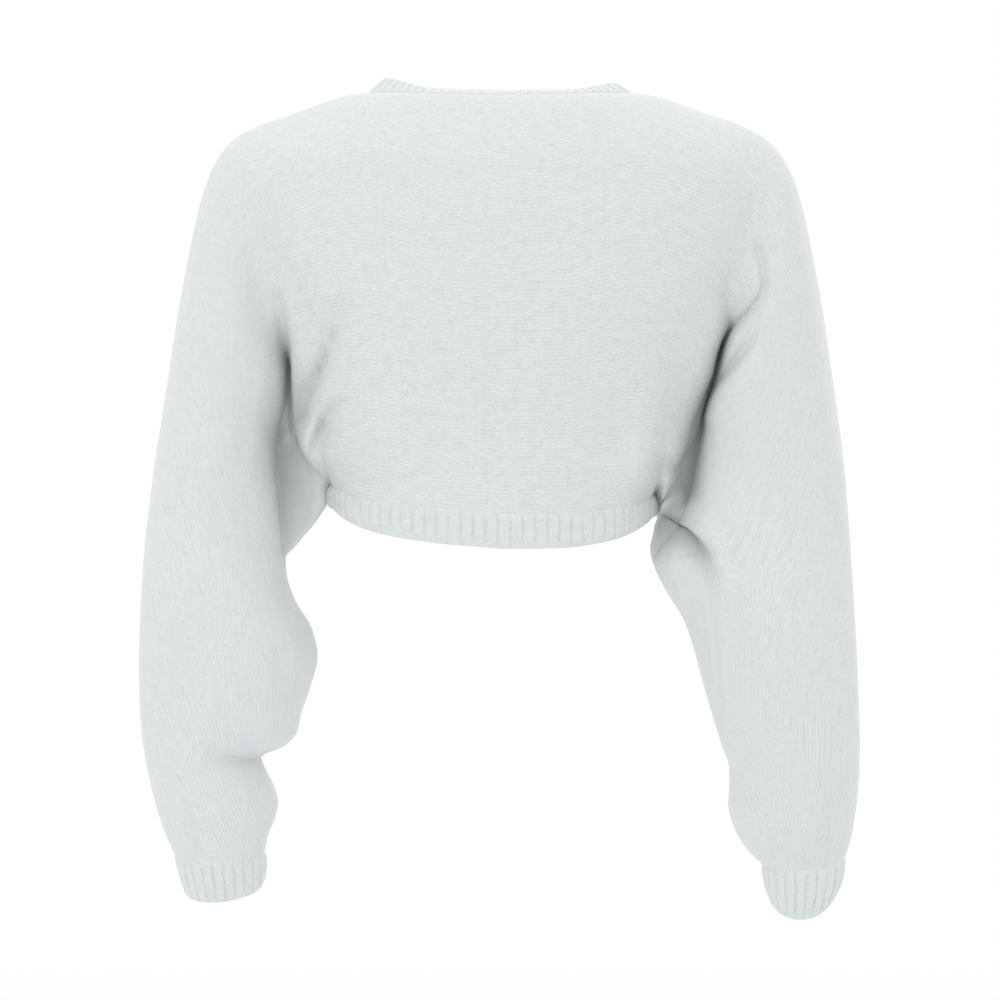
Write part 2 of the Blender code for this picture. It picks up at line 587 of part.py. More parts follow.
def ribbed_wall(name, base, normals, pitch, material, closed=False):
    """A wall whose outer points rise in ribs along its length, over a plain inside.

    base is a grid of points, first along the band and then across it, with its outward normals.
    """
    both = np.concatenate([base, normals], axis=2)
    length = at_shares(both, [0.0], closed)[1]
    ribs = max(3, round(length / pitch))
    steps = [(rib + share, raise_share) for rib in range(ribs) for share, raise_share in RIB_PROFILE]
    bounds = list(range(ribs))
    if not closed:
        steps.append((ribs, RIB_PROFILE[0][1]))
        bounds.append(ribs)
    outer = at_shares(both, [step[0] / ribs for step in steps], closed)[0]
    inner = at_shares(both, [bound / ribs for bound in bounds], closed)[0]
    raised = np.array([step[1] for step in steps])[:, None, None] * RIB_RAISE
    outer_points = outer[..., :3] + raised * unit(outer[..., 3:])
    inner_points = inner[..., :3] - RIB_WALL * unit(inner[..., 3:])
    across = base.shape[1]
    first_inner = len(steps) * across
    per_rib = len(RIB_PROFILE)

    def top(column, row):
        return (column % len(steps)) * across + row

    def under(rib, row):
        return first_inner + (rib % len(bounds)) * across + row

    faces = []
    for rib in range(ribs):
        columns = [rib * per_rib + k for k in range(per_rib + 1)]
        for row in range(across - 1):
            for a, b in zip(columns, columns[1:]):
                faces.append((top(a, row), top(b, row), top(b, row + 1), top(a, row + 1)))
            faces.append((under(rib, row), under(rib, row + 1), under(rib + 1, row + 1), under(rib + 1, row)))
        for row in (0, across - 1):
            faces.append([top(k, row) for k in columns] + [under(rib + 1, row), under(rib, row)])
    if not closed:
        for column, rib in ((0, 0), (len(steps) - 1, ribs)):
            for row in range(across - 1):
                faces.append((top(column, row), top(column, row + 1), under(rib, row + 1), under(rib, row)))
    points = np.concatenate([outer_points.reshape(-1, 3), inner_points.reshape(-1, 3)])
    return add_object(name, points, faces, material)


def hem_height(x):
    share = np.clip(np.abs(x - HEM_CENTRE_X) / HEM_HALF_WIDTH, 0.0, 1.0)
    return HEM_BAND_MIDDLE + (HEM_BAND_SIDE - HEM_BAND_MIDDLE) * share**HEM_BAND_CURVE


def build_hem(name, seam, normals, material):
    """A rib band hanging from the hem seam of one panel."""
    rows = []
    for share in (0.0, 1.0):
        row = seam.copy()
        row[:, 2] -= SEAM_GAP + share * (hem_height(seam[:, 0]) - SEAM_GAP)
        rows.append(row)
    level = normals.copy()
    level[:, 2] = 0.0
    base = np.stack(rows, axis=1)
    return ribbed_wall(name, base, np.stack([unit(level)] * 2, axis=1), HEM_RIB_PITCH, material)


def build_hems(grids, material):
    left, right = grids["left"], grids["right"]
    backs = []
    for part in (right, left):
        side = next(i for i, row in enumerate(part["back_rows"]) if not row["is_body"])
        backs.append((part["back"][: side + 1, -1], part["back_normals"][: side + 1, -1]))
    seam = np.concatenate([backs[0][0][::-1], backs[1][0][1:]])
    normals = np.concatenate([backs[0][1][::-1], backs[1][1][1:]])
    build_hem("hem_back", shortened(seam, HEM_SIDE_GAP, HEM_SIDE_GAP), normals, material)
    for name, part in (("left", left), ("right", right)):
        seam = shortened(part["front"][: part["side"] + 1, -1], SEAM_GAP / 2, HEM_SIDE_GAP)
        build_hem("hem_front_" + name, seam, part["front_normals"][: part["side"] + 1, -1], material)


def shortened(line, first, last):
    """A line with a short stretch off each end."""
    line = line.copy()
    line[0] += first * unit(line[1] - line[0])
    line[-1] += last * unit(line[-2] - line[-1])
    return line


def chest_place(x, z):
    """y of the front's surface at a place of the plane near its edge."""
    depth, rise = torso_depth(x, z, "front")
    return NECK_POINT_Y * (1 - rise) - smooth_largest(depth, 0.0, FORM_BLEND * rise)


def band_side(part, side):
    """One half of the neck and front band's base, from the middle of the back neck to the foot."""
    back_rows = part["back_rows"]
    neck = next(i for i, row in enumerate(back_rows) if abs(row["top_x"]) >= NECK_POINT_X - 0.1)
    front, front_normals = part["front"], part["front_normals"]
    seam = [part["back"][: neck + 1, 0], front[part["shoulder"] - 1 :: -1, 0], front[0, 1:]]
    normals = [part["back_normals"][: neck + 1, 0]]
    normals += [front_normals[part["shoulder"] - 1 :: -1, 0], front_normals[0, 1:]]
    foot = front[0, -1].copy()
    foot[2] -= hem_height(foot[0])
    seam = np.concatenate(seam + [foot[None]])
    normals = np.concatenate(normals + [front_normals[0, -1:]])
    along = np.concatenate([[0.0], np.cumsum(np.linalg.norm(np.diff(seam, axis=0), axis=1))])
    share = along / along[-1]
    rise, inward, forward, on_chest = (
        from_table(share, BAND_COLUMNS, BAND_ROWS, "at", name)
        for name in ("rise", "inward", "forward", "on_chest")
    )
    rise = rise * (1 - BAND_DROP["left" if side > 0 else "right"] * smooth_step(share / BAND_DROP_FROM))
    edge = seam.copy()
    edge[:, 0] -= side * inward
    edge[:, 2] += rise
    chest = seam[:, 1] + chest_place(edge[:, 0], edge[:, 2]) - chest_place(seam[:, 0], seam[:, 2])
    edge[:, 1] = (1 - on_chest) * (seam[:, 1] - forward) + on_chest * chest
    return seam, normals, edge


def build_neck_band(grids, material):
    """One rib strip, up the right front edge, round the neck and down the left front edge."""
    halves = [band_side(grids["right"], -1), band_side(grids["left"], 1)]
    seam, normals, edge = (
        np.concatenate([right[::-1], left[1:]]) for right, left in zip(*halves)
    )
    run = unit(np.gradient(seam, axis=0))
    way_out = unit(np.cross(run, normals))
    way_out *= np.sign(np.sum(way_out * (edge - seam), axis=1, keepdims=True))
    band_normals = unit(np.cross(run, unit(edge - seam)))
    band_normals *= np.sign(np.sum(band_normals * normals, axis=1, keepdims=True))
    base = np.stack([seam + BAND_SEAM_GAP * way_out, edge], axis=1)
    normals = np.stack([normals, band_normals], axis=1)
    return ribbed_wall("neck_band", base, normals, NECK_RIB_PITCH, material)


def build_cuff(name, side, material):
    """A ribbed tube below the sleeve's last section."""
    rows = named(SLEEVE_COLUMNS, LEFT_CUFF_ROWS if side > 0 else RIGHT_CUFF_ROWS)
    turn = np.linspace(0.0, 1.0, CUFF_RING_STEPS + 1)
    rings = []
    for row in rows:
        row = {**PLAIN_ROW, **row}
        row["top_x"] *= side
        row["low_x"] *= side
        behind = ring_points(row, turn, "back")
        before = ring_points(row, turn[::-1], "front")
        rings.append(np.concatenate([behind[:-1], before[:-1]]))
    base = np.stack(rings, axis=1)
    ways = unit(base[:, 1] - base[:, 0])
    wrapped = np.concatenate([base[-1:], base, base[:1]])
    around = (wrapped[2:] - wrapped[:-2]) / 2
    normals = unit(np.cross(around, np.gradient(base, axis=1)))
    centre = base.mean(axis=0, keepdims=True)
    normals *= np.sign(np.sum(normals * (base - centre), axis=2, keepdims=True))
    normals[:, 0] = unit(normals[:, 0] - np.sum(normals[:, 0] * ways, axis=1, keepdims=True) * ways)
    base[:, 0] += SEAM_GAP * ways
    return ribbed_wall(name, base, normals, CUFF_RIB_PITCH, material, closed=True)


def main():
    for obj in list(bpy.data.objects):
        bpy.data.objects.remove(obj)
    collection = bpy.data.collections.new(COLLECTION)
    bpy.context.scene.collection.children.link(collection)
    jersey = knit_material("jersey", (0.66, 0.70, 0.70), 0.9)
    rib = knit_material("rib", (0.69, 0.73, 0.72), 0.9)
    grids = build_panels(jersey)
    build_hems(grids, rib)
    build_neck_band(grids, rib)
    build_cuff("cuff_left", 1, rib)
    build_cuff("cuff_right", -1, rib)


main()
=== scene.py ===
# %% [markdown]
# # A cropped batwing cardigan in melange knit
# The garment hangs as it does on its wearer, filled out and empty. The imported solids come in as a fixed
# frame. Each solid is then replaced by a finer sheet of cloth on the same form, with its creases, its
# knitted wales and its ribs. All sizes in the tables are millimetres, as on a maker's sheet.

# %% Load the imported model
import math

import bmesh
import bpy
import numpy as np
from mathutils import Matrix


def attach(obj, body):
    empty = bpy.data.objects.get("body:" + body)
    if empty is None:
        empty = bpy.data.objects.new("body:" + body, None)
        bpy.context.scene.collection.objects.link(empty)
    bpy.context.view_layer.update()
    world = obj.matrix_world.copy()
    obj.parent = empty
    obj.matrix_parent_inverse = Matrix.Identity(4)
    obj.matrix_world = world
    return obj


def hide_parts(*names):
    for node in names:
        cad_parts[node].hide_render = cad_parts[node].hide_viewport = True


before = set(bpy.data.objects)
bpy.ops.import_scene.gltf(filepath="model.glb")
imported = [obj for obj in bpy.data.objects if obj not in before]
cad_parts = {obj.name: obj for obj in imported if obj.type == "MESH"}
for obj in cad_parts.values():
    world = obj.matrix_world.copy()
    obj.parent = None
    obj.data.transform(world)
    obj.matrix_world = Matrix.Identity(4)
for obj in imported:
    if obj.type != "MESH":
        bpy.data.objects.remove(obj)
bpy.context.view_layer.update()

MILLIMETRE = 0.001
print("solids:", sorted(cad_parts))


# %% [markdown]
# ## Camera
# The photograph shows the back from straight behind, level with the middle of the garment and from far
# off, so a long lens stands 3 m away. One pixel is 0.8 mm at the garment.

# %% Camera at the photograph's angle
PIXEL = 0.0008
FRAME_WIDTH = 1000 * PIXEL
CAMERA_AWAY = 3.0
CAMERA_HEIGHT = -0.324
SENSOR = 36.0
bpy.ops.object.camera_add(location=(0.0, CAMERA_AWAY, CAMERA_HEIGHT), rotation=(math.pi / 2, 0.0, math.pi))
camera = bpy.context.object
camera.name = "camera"
camera.data.sensor_width = SENSOR
camera.data.lens = SENSOR * CAMERA_AWAY / FRAME_WIDTH
camera.data.dof.use_dof = False
bpy.context.scene.camera = camera
print("lens", round(camera.data.lens, 1), "mm")


# %% [markdown]
# ## Floor and light
# A pale floor lies where a standing wearer's feet would be. The light is soft and almost even, as in a
# photograph cut out on white: a sky that is white at the horizon, brighter above and a little darker
# below, with one wide lamp high on each side.

# %% Floor
FLOOR_HEIGHT = -1.35
bpy.ops.mesh.primitive_plane_add(size=7.0, location=(0.0, 0.0, FLOOR_HEIGHT))
floor = bpy.context.object
floor.name = "floor"
floor_paint = bpy.data.materials.new("floor_paint")
floor_paint.use_nodes = True
floor_shader = floor_paint.node_tree.nodes["Principled BSDF"]
floor_shader.inputs["Base Color"].default_value = (0.86, 0.87, 0.88, 1.0)
floor_shader.inputs["Roughness"].default_value = 0.7
floor.data.materials.append(floor_paint)

# %% Sky
SKY_STOPS = ((0.0, 0.8), (0.40, 0.9), (0.44, 1.0), (0.56, 1.0), (1.0, 1.5))
world = bpy.data.worlds.new("soft_sky")
bpy.context.scene.world = world
world.use_nodes = True
sky = world.node_tree
sky_ramp = sky.nodes.new("ShaderNodeValToRGB")
for place, bright in SKY_STOPS:
    ends = {0.0: 0, 1.0: -1}
    stops = sky_ramp.color_ramp.elements
    stop = stops[ends[place]] if place in ends else stops.new(place)
    stop.color = (bright, bright, bright, 1.0)
sky_place = sky.nodes.new("ShaderNodeTexCoord")
sky_split = sky.nodes.new("ShaderNodeSeparateXYZ")
sky_half = sky.nodes.new("ShaderNodeMath")
sky_half.operation = "MULTIPLY_ADD"
sky_half.inputs[1].default_value = 0.5
sky_half.inputs[2].default_value = 0.5
sky.links.new(sky_place.outputs["Generated"], sky_split.inputs[0])
sky.links.new(sky_split.outputs["Z"], sky_half.inputs[0])
sky.links.new(sky_half.outputs[0], sky_ramp.inputs[0])
sky.links.new(sky_ramp.outputs[0], sky.nodes["Background"].inputs["Color"])
bpy.context.scene.view_settings.view_transform = "Standard"

# %% Lamps
LAMP_COLUMNS = ("name", "place", "size", "power")
LAMP_ROWS = (
    ("back_lamp", (1.6, 3.2, 1.5), 2.0, 20.0),
    ("front_lamp", (-1.6, -3.2, 1.5), 2.0, 20.0),
)


def named(columns, rows):
    """The rows as dictionaries, by column name."""
    return [dict(zip(columns, row)) for row in rows]


for row in named(LAMP_COLUMNS, LAMP_ROWS):
    bpy.ops.object.light_add(type="AREA", location=row["place"])
    lamp = bpy.context.object
    lamp.name = row["name"]
    lamp.data.shape = "SQUARE"
    lamp.data.size = row["size"]
    lamp.data.energy = row["power"]
    aim = -lamp.location.normalized()
    lamp.rotation_euler = aim.to_track_quat("-Z", "Y").to_euler()
    print(row["name"], row["power"], "W")


# %% [markdown]
# ## The form under the cloth
# Smooth curves through short tables give the cloth round the body: how wide and deep it is at each
# height, and where the shoulder line runs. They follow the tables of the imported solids, so the finer
# cloth lies close to the solids.

# %% Curves through tables
def steady(at, places, values):
    """A smooth curve through the table's points that never overshoots them."""
    places = np.asarray(places, float)
    values = np.asarray(values, float)
    run = np.diff(places)
    slope = np.diff(values) / run
    tangent = np.zeros_like(values)
    tangent[0] = slope[0]
    tangent[-1] = slope[-1]
    for i in range(1, len(values) - 1):
        if slope[i - 1] * slope[i] > 0:
            weight_before = 2 * run[i] + run[i - 1]
            weight_after = run[i] + 2 * run[i - 1]
            total = weight_before + weight_after
            tangent[i] = total / (weight_before / slope[i - 1] + weight_after / slope[i])
    at = np.clip(np.asarray(at, float), places[0], places[-1])
    i = np.clip(np.searchsorted(places, at, side="right") - 1, 0, len(run) - 1)
    t = (at - places[i]) / run[i]
    near = values[i] * (1 + 2 * t) * (1 - t) ** 2 + values[i + 1] * t**2 * (3 - 2 * t)
    return near + run[i] * (tangent[i] * t * (1 - t) ** 2 - tangent[i + 1] * t**2 * (1 - t))


def from_table(at, columns, rows, key, name):
    """The named column at the given places of the key column."""
    table = named(columns, rows)
    return steady(at, [row[key] for row in table], [row[name] for row in table])


def smooth_step(share):
    share = np.clip(share, 0.0, 1.0)
    return share * share * (3 - 2 * share)


def smooth_largest(first, second, blend):
    return 0.5 * (first + second + np.sqrt((first - second) ** 2 + blend**2))


def round_start(share):
    """A quarter of an ellipse: 0 at 0 and 1 from 1 on."""
    share = np.clip(share, 0.0, 1.0)
    return np.sqrt(1 - (1 - share) ** 2)

# %% Cross-sections of the body and the shoulder line
TORSO_COLUMNS = ("z", "half_width", "back_depth", "front_depth")
TORSO_ROWS = (
    (-370.0, 129.0, 84.0, 98.0),
    (-335.0, 129.0, 84.0, 98.0),
    (-312.0, 133.0, 85.0, 103.0),
    (-284.0, 146.0, 88.0, 110.0),
    (-244.0, 159.0, 94.0, 118.0),
    (-210.0, 173.0, 98.5, 121.0),
    (-160.0, 200.0, 102.0, 115.0),
    (-110.0, 222.0, 100.0, 99.0),
    (-60.0, 236.0, 90.0, 76.0),
    (-30.0, 240.0, 80.0, 56.0),
    (20.0, 240.0, 66.0, 44.0),
)
SHOULDER_COLUMNS = ("x", "z")
SHOULDER_ROWS = (
    (0.0, -5.0),
    (52.0, -3.5),
    (104.0, 0.0),
    (120.0, -0.8),
    (144.0, -8.0),
    (168.0, -16.5),
    (192.0, -24.5),
    (206.0, -31.5),
    (224.0, -47.0),
    (236.0, -70.0),
    (245.0, -101.0),
    (260.0, -180.0),
)
HEM_CENTRE_X = 6.0
HEM_HALF_WIDTH = 129.0
HEM_BACK_DEPTH = 84.0
HEM_FRONT_DEPTH = 98.0
CENTRE_SHIFT_HEIGHT = 300.0
TORSO_ROUNDNESS = 2.2
SHOULDER_ROUNDING = {"back": 62.0, "front": 60.0}
FULL_SIDE_WIDTH = 12.0
FULL_SIDE_FROM = 60.0
FULL_SIDE_PLACE = (-303.0, 20.0)


def hem_depth(x, face):
    """How far the hem seam lies behind or in front of the hem's side, as half an ellipse."""
    depth = HEM_BACK_DEPTH if face == "back" else HEM_FRONT_DEPTH
    share = np.clip(np.abs(x - HEM_CENTRE_X) / HEM_HALF_WIDTH, 0.0, 1.0)
    return depth * np.sqrt(1 - share**2)


def torso_depth(x, z, face):
    """Depth of the cloth round the body at this place of the plane, and how far the shoulder has rounded."""
    half_width = from_table(z, TORSO_COLUMNS, TORSO_ROWS, "z", "half_width")
    depth = from_table(z, TORSO_COLUMNS, TORSO_ROWS, "z", face + "_depth")
    shoulder = from_table(np.abs(x), SHOULDER_COLUMNS, SHOULDER_ROWS, "x", "z")
    height, reach = FULL_SIDE_PLACE
    fuller = FULL_SIDE_WIDTH * np.exp(-(((z - height) / reach) ** 2)) * smooth_step(-x / FULL_SIDE_FROM)
    half_width = half_width + fuller
    centre = HEM_CENTRE_X * smooth_step(-z / CENTRE_SHIFT_HEIGHT)
    side = np.clip(np.abs(x - centre) / half_width, 0.0, 1.0)
    rise = round_start((shoulder - z) / SHOULDER_ROUNDING[face])
    return depth * np.sqrt(1 - side**TORSO_ROUNDNESS) * rise, rise

# %% [markdown]
# ## Sections from cuff to cuff
# Each panel is knitted sideways. Its sections run from the over-arm line to the hem or the underarm
# seam, and fan out at the hem's side. A row of the tables gives one section.

# %% Tables of the sections
BODY_COLUMNS = ("top_x", "top_y", "top_z", "hem_x", "low_z")
BACK_BODY_ROWS = (
    (0.0, 48.0, -5.0, 0.0, -335.0),
    (52.0, 43.0, -3.5, 47.0, -334.0),
    (104.0, 14.0, 0.0, 92.0, -328.0),
    (124.0, 8.0, -2.0, 104.5, -325.0),
    (144.0, 4.0, -8.0, 115.0, -321.0),
    (164.0, 2.0, -15.0, 124.0, -316.5),
)
FRONT_BODY_ROWS = (
    (30.0, 14.0, -262.0, 29.0, -331.0),
    (32.5, 14.0, -236.0, 33.0, -331.0),
    (41.0, 14.0, -203.0, 42.0, -330.5),
    (54.5, 14.0, -158.0, 55.0, -330.0),
    (68.5, 14.0, -114.0, 66.5, -329.0),
    (82.0, 14.0, -70.0, 77.0, -327.5),
    (95.0, 14.0, -30.0, 87.0, -325.5),
    (104.0, 14.0, 0.0, 94.0, -324.0),
    (124.0, 8.0, -2.0, 105.5, -321.5),
    (144.0, 4.0, -8.0, 115.0, -319.0),
    (164.0, 2.0, -15.0, 124.0, -315.5),
)
FAN_COLUMNS = ("top_x", "top_z", "low_x", "low_z", "closing", "arm_share", "tube", "web_forward")
SLEEVE_COLUMNS = ("top_x", "top_z", "low_x", "low_z", "tube", "forward", "tilt", "seam_turn")

# What a section has where its table leaves it out.
PLAIN_ROW = {
    "top_y": 0.0, "closing": 1.0, "arm_share": 1.0, "tube": 0.0, "web_forward": 0.0, "forward": 0.0,
    "tilt": 0.0, "seam_turn": 1.0, "is_body": 0.0,
}
LEFT_FAN_ROWS = (
    (180.0, -20.5, 135.0, -312.0, 0.5, 0.30, 20.0, 0.0),
    (206.0, -31.5, 137.2, -315.0, 0.62, 0.40, 38.0, 0.0),
    (224.0, -47.0, 137.6, -319.0, 0.72, 0.55, 48.0, 7.0),
    (236.0, -70.0, 137.8, -323.5, 0.80, 0.60, 54.0, 12.0),
    (245.0, -101.0, 138.8, -328.5, 0.87, 0.64, 58.0, 16.0),
    (252.0, -134.0, 141.6, -333.0, 0.92, 0.66, 60.0, 18.0),
    (259.0, -171.0, 145.0, -338.0, 0.96, 0.67, 60.0, 19.0),
    (266.0, -217.0, 150.0, -345.0, 1.0, 0.70, 59.0, 18.0),
    (272.0, -258.0, 157.0, -353.0, 1.0, 0.78, 58.0, 15.0),
    (277.0, -294.0, 164.0, -361.5, 1.0, 0.87, 57.0, 9.0),
    (280.5, -328.0, 171.5, -371.0, 1.0, 0.96, 56.0, 3.0),
)
LEFT_SLEEVE_ROWS = (
    (283.5, -358.0, 170.5, -384.0, 55.0, 2.0, 0.0, 1.0),
    (286.0, -394.0, 164.0, -404.0, 55.0, 3.0, 0.0, 1.0),
    (287.6, -424.0, 150.0, -428.0, 55.0, 2.0, 0.0, 1.0),
    (288.6, -450.0, 145.8, -449.0, 54.0, 0.0, 0.0, 1.0),
    (288.8, -474.0, 152.0, -474.0, 53.0, -4.0, 0.0, 1.0),
    (288.4, -495.0, 160.0, -497.0, 51.0, -8.0, 0.0, 1.0),
    (287.5, -510.0, 163.0, -511.0, 49.0, -12.0, 0.01, 1.0),
    (286.5, -521.0, 172.0, -521.0, 47.0, -14.0, 0.02, 1.0),
    (285.0, -531.0, 192.5, -531.0, 46.0, -17.0, 0.03, 1.0),
    (283.0, -543.0, 187.5, -544.0, 46.0, -20.0, 0.04, 1.0),
    (280.0, -558.0, 181.5, -557.0, 45.0, -23.0, 0.05, 1.0),
    (277.0, -571.0, 179.0, -569.5, 43.0, -26.0, 0.06, 1.0),
    (273.0, -584.0, 182.0, -582.0, 40.0, -29.0, 0.08, 1.0),
    (268.0, -598.0, 188.0, -597.0, 36.0, -32.0, 0.09, 1.0),
    (262.4, -609.6, 190.4, -609.6, 33.0, -34.0, 0.10, 1.0),
)
RIGHT_FAN_ROWS = (
    (180.0, -19.5, 123.0, -319.0, 0.5, 0.30, 20.0, 0.0),
    (206.0, -31.5, 125.2, -322.0, 0.62, 0.40, 38.0, 0.0),
    (224.0, -46.0, 125.6, -325.5, 0.72, 0.48, 48.0, 7.0),
    (236.0, -66.0, 125.8, -329.5, 0.80, 0.57, 54.0, 12.0),
    (245.0, -95.0, 125.8, -333.5, 0.87, 0.65, 58.0, 16.0),
    (252.0, -128.0, 125.6, -338.0, 0.92, 0.71, 60.0, 18.0),
    (259.0, -164.0, 124.4, -343.0, 0.96, 0.75, 60.0, 19.0),
    (265.0, -205.0, 123.0, -348.5, 1.0, 0.78, 59.0, 18.0),
    (270.5, -246.0, 121.6, -355.0, 1.0, 0.83, 58.0, 15.0),
    (275.0, -286.0, 120.2, -361.0, 1.0, 0.90, 57.0, 9.0),
    (278.0, -326.0, 120.6, -368.0, 1.0, 0.97, 57.0, 3.0),
)
RIGHT_SLEEVE_ROWS = (
    (280.0, -362.0, 124.0, -379.0, 56.0, 2.0, 0.0, 1.0),
    (282.0, -394.0, 133.5, -398.0, 56.0, 3.0, 0.0, 1.0),
    (283.6, -420.0, 147.0, -420.0, 55.0, 2.0, 0.0, 1.0),
    (285.2, -446.0, 156.0, -446.0, 54.0, 0.0, 0.0, 1.0),
    (286.6, -472.0, 163.0, -472.0, 52.0, -4.0, 0.0, 1.0),
    (288.0, -500.0, 171.5, -500.0, 50.0, -9.0, 0.0, 0.93),
    (288.8, -522.0, 178.5, -522.0, 48.0, -13.0, 0.02, 0.82),
    (288.8, -540.0, 184.5, -540.0, 47.0, -17.0, 0.03, 0.775),
    (288.2, -556.0, 184.8, -556.0, 46.0, -21.0, 0.05, 0.735),
    (287.0, -570.0, 184.0, -570.0, 45.0, -24.0, 0.06, 0.67),
    (285.4, -583.0, 187.0, -583.0, 43.0, -27.0, 0.08, 0.635),
    (283.4, -595.0, 192.5, -596.0, 39.0, -29.0, 0.09, 0.62),
    (281.0, -604.0, 202.0, -608.5, 35.0, -31.0, 0.10, 0.62),
    (278.4, -612.0, 212.8, -618.4, 31.5, -33.0, 0.12, 0.63),
)
HEM_SIDE_DROP = {"left": 0.0, "right": 7.0}
HEM_MIDDLE_RAISE = {"left": 3.4, "right": 0.0}
BODY_ARM_SHARE = 0.3

# %% Sections put in order and made finer
FINER = {"body": 9.0, "fan": 2.5, "sleeve": 6.5}


def sections_of(side, face):
    """This side's sections from the middle to the cuff seam, with x to this side and each value named."""
    body = named(BODY_COLUMNS, BACK_BODY_ROWS if face == "back" else FRONT_BODY_ROWS)
    fan = named(FAN_COLUMNS, LEFT_FAN_ROWS if side > 0 else RIGHT_FAN_ROWS)
    sleeve = named(SLEEVE_COLUMNS, LEFT_SLEEVE_ROWS if side > 0 else RIGHT_SLEEVE_ROWS)
    rows = []
    for row in body:
        share = row["hem_x"] / HEM_HALF_WIDTH
        low = {"low_x": row["hem_x"] + side * HEM_CENTRE_X * share}
        name = "left" if side > 0 else "right"
        low["low_z"] = row["low_z"] - HEM_SIDE_DROP[name] * share**2
        if face == "back":
            low["low_z"] += HEM_MIDDLE_RAISE[name] * math.sin(math.pi * share)
        rows.append({**PLAIN_ROW, "closing": 0.5, "arm_share": BODY_ARM_SHARE, "is_body": 1.0, **row, **low})
    rows += [{**PLAIN_ROW, **row} for row in fan + sleeve]
    for row in rows:
        row["top_x"] *= side
        row["low_x"] *= side
    return rows


def finer_sections(rows):
    """The sections as columns of values on smooth curves, closest together where the creases lie."""
    along = [0.0]
    for before, after in zip(rows, rows[1:]):
        top_run = math.hypot(after["top_x"] - before["top_x"], after["top_z"] - before["top_z"])
        low_run = math.hypot(after["low_x"] - before["low_x"], after["low_z"] - before["low_z"])
        along.append(along[-1] + 0.5 * (top_run + low_run))
    places = []
    for row, before, after in zip(rows, along, along[1:]):
        kind = "body" if row["is_body"] else "fan" if row["arm_share"] < 1.0 else "sleeve"
        count = max(2, round((after - before) / FINER[kind]))
        places += [before + (after - before) * k / count for k in range(count)]
    places = np.array(places + [along[-1]])
    names = [name for name in rows[0] if name not in ("hem_x", "is_body")]
    curves = {name: steady(places, along, [row[name] for row in rows]) for name in names}
    side_place = along[[row["is_body"] for row in rows].index(0.0)]
    curves["is_body"] = np.where(places < side_place - 1e-6, 1.0, 0.0)
    curves["to_side"] = places - side_place
    return curves


# %% [markdown]
# ## Folds
# The arms hang down in sleeves that are cut to stand out, so the cloth between arm and body folds into
# creases at each armpit and bunches at the elbows. A fold is a path in the plane of the back. Across it
# the cloth sinks in a soft trough, or rises in a ridge, and where it leans, one lip is pushed over the
# trough, as knitted cloth does.

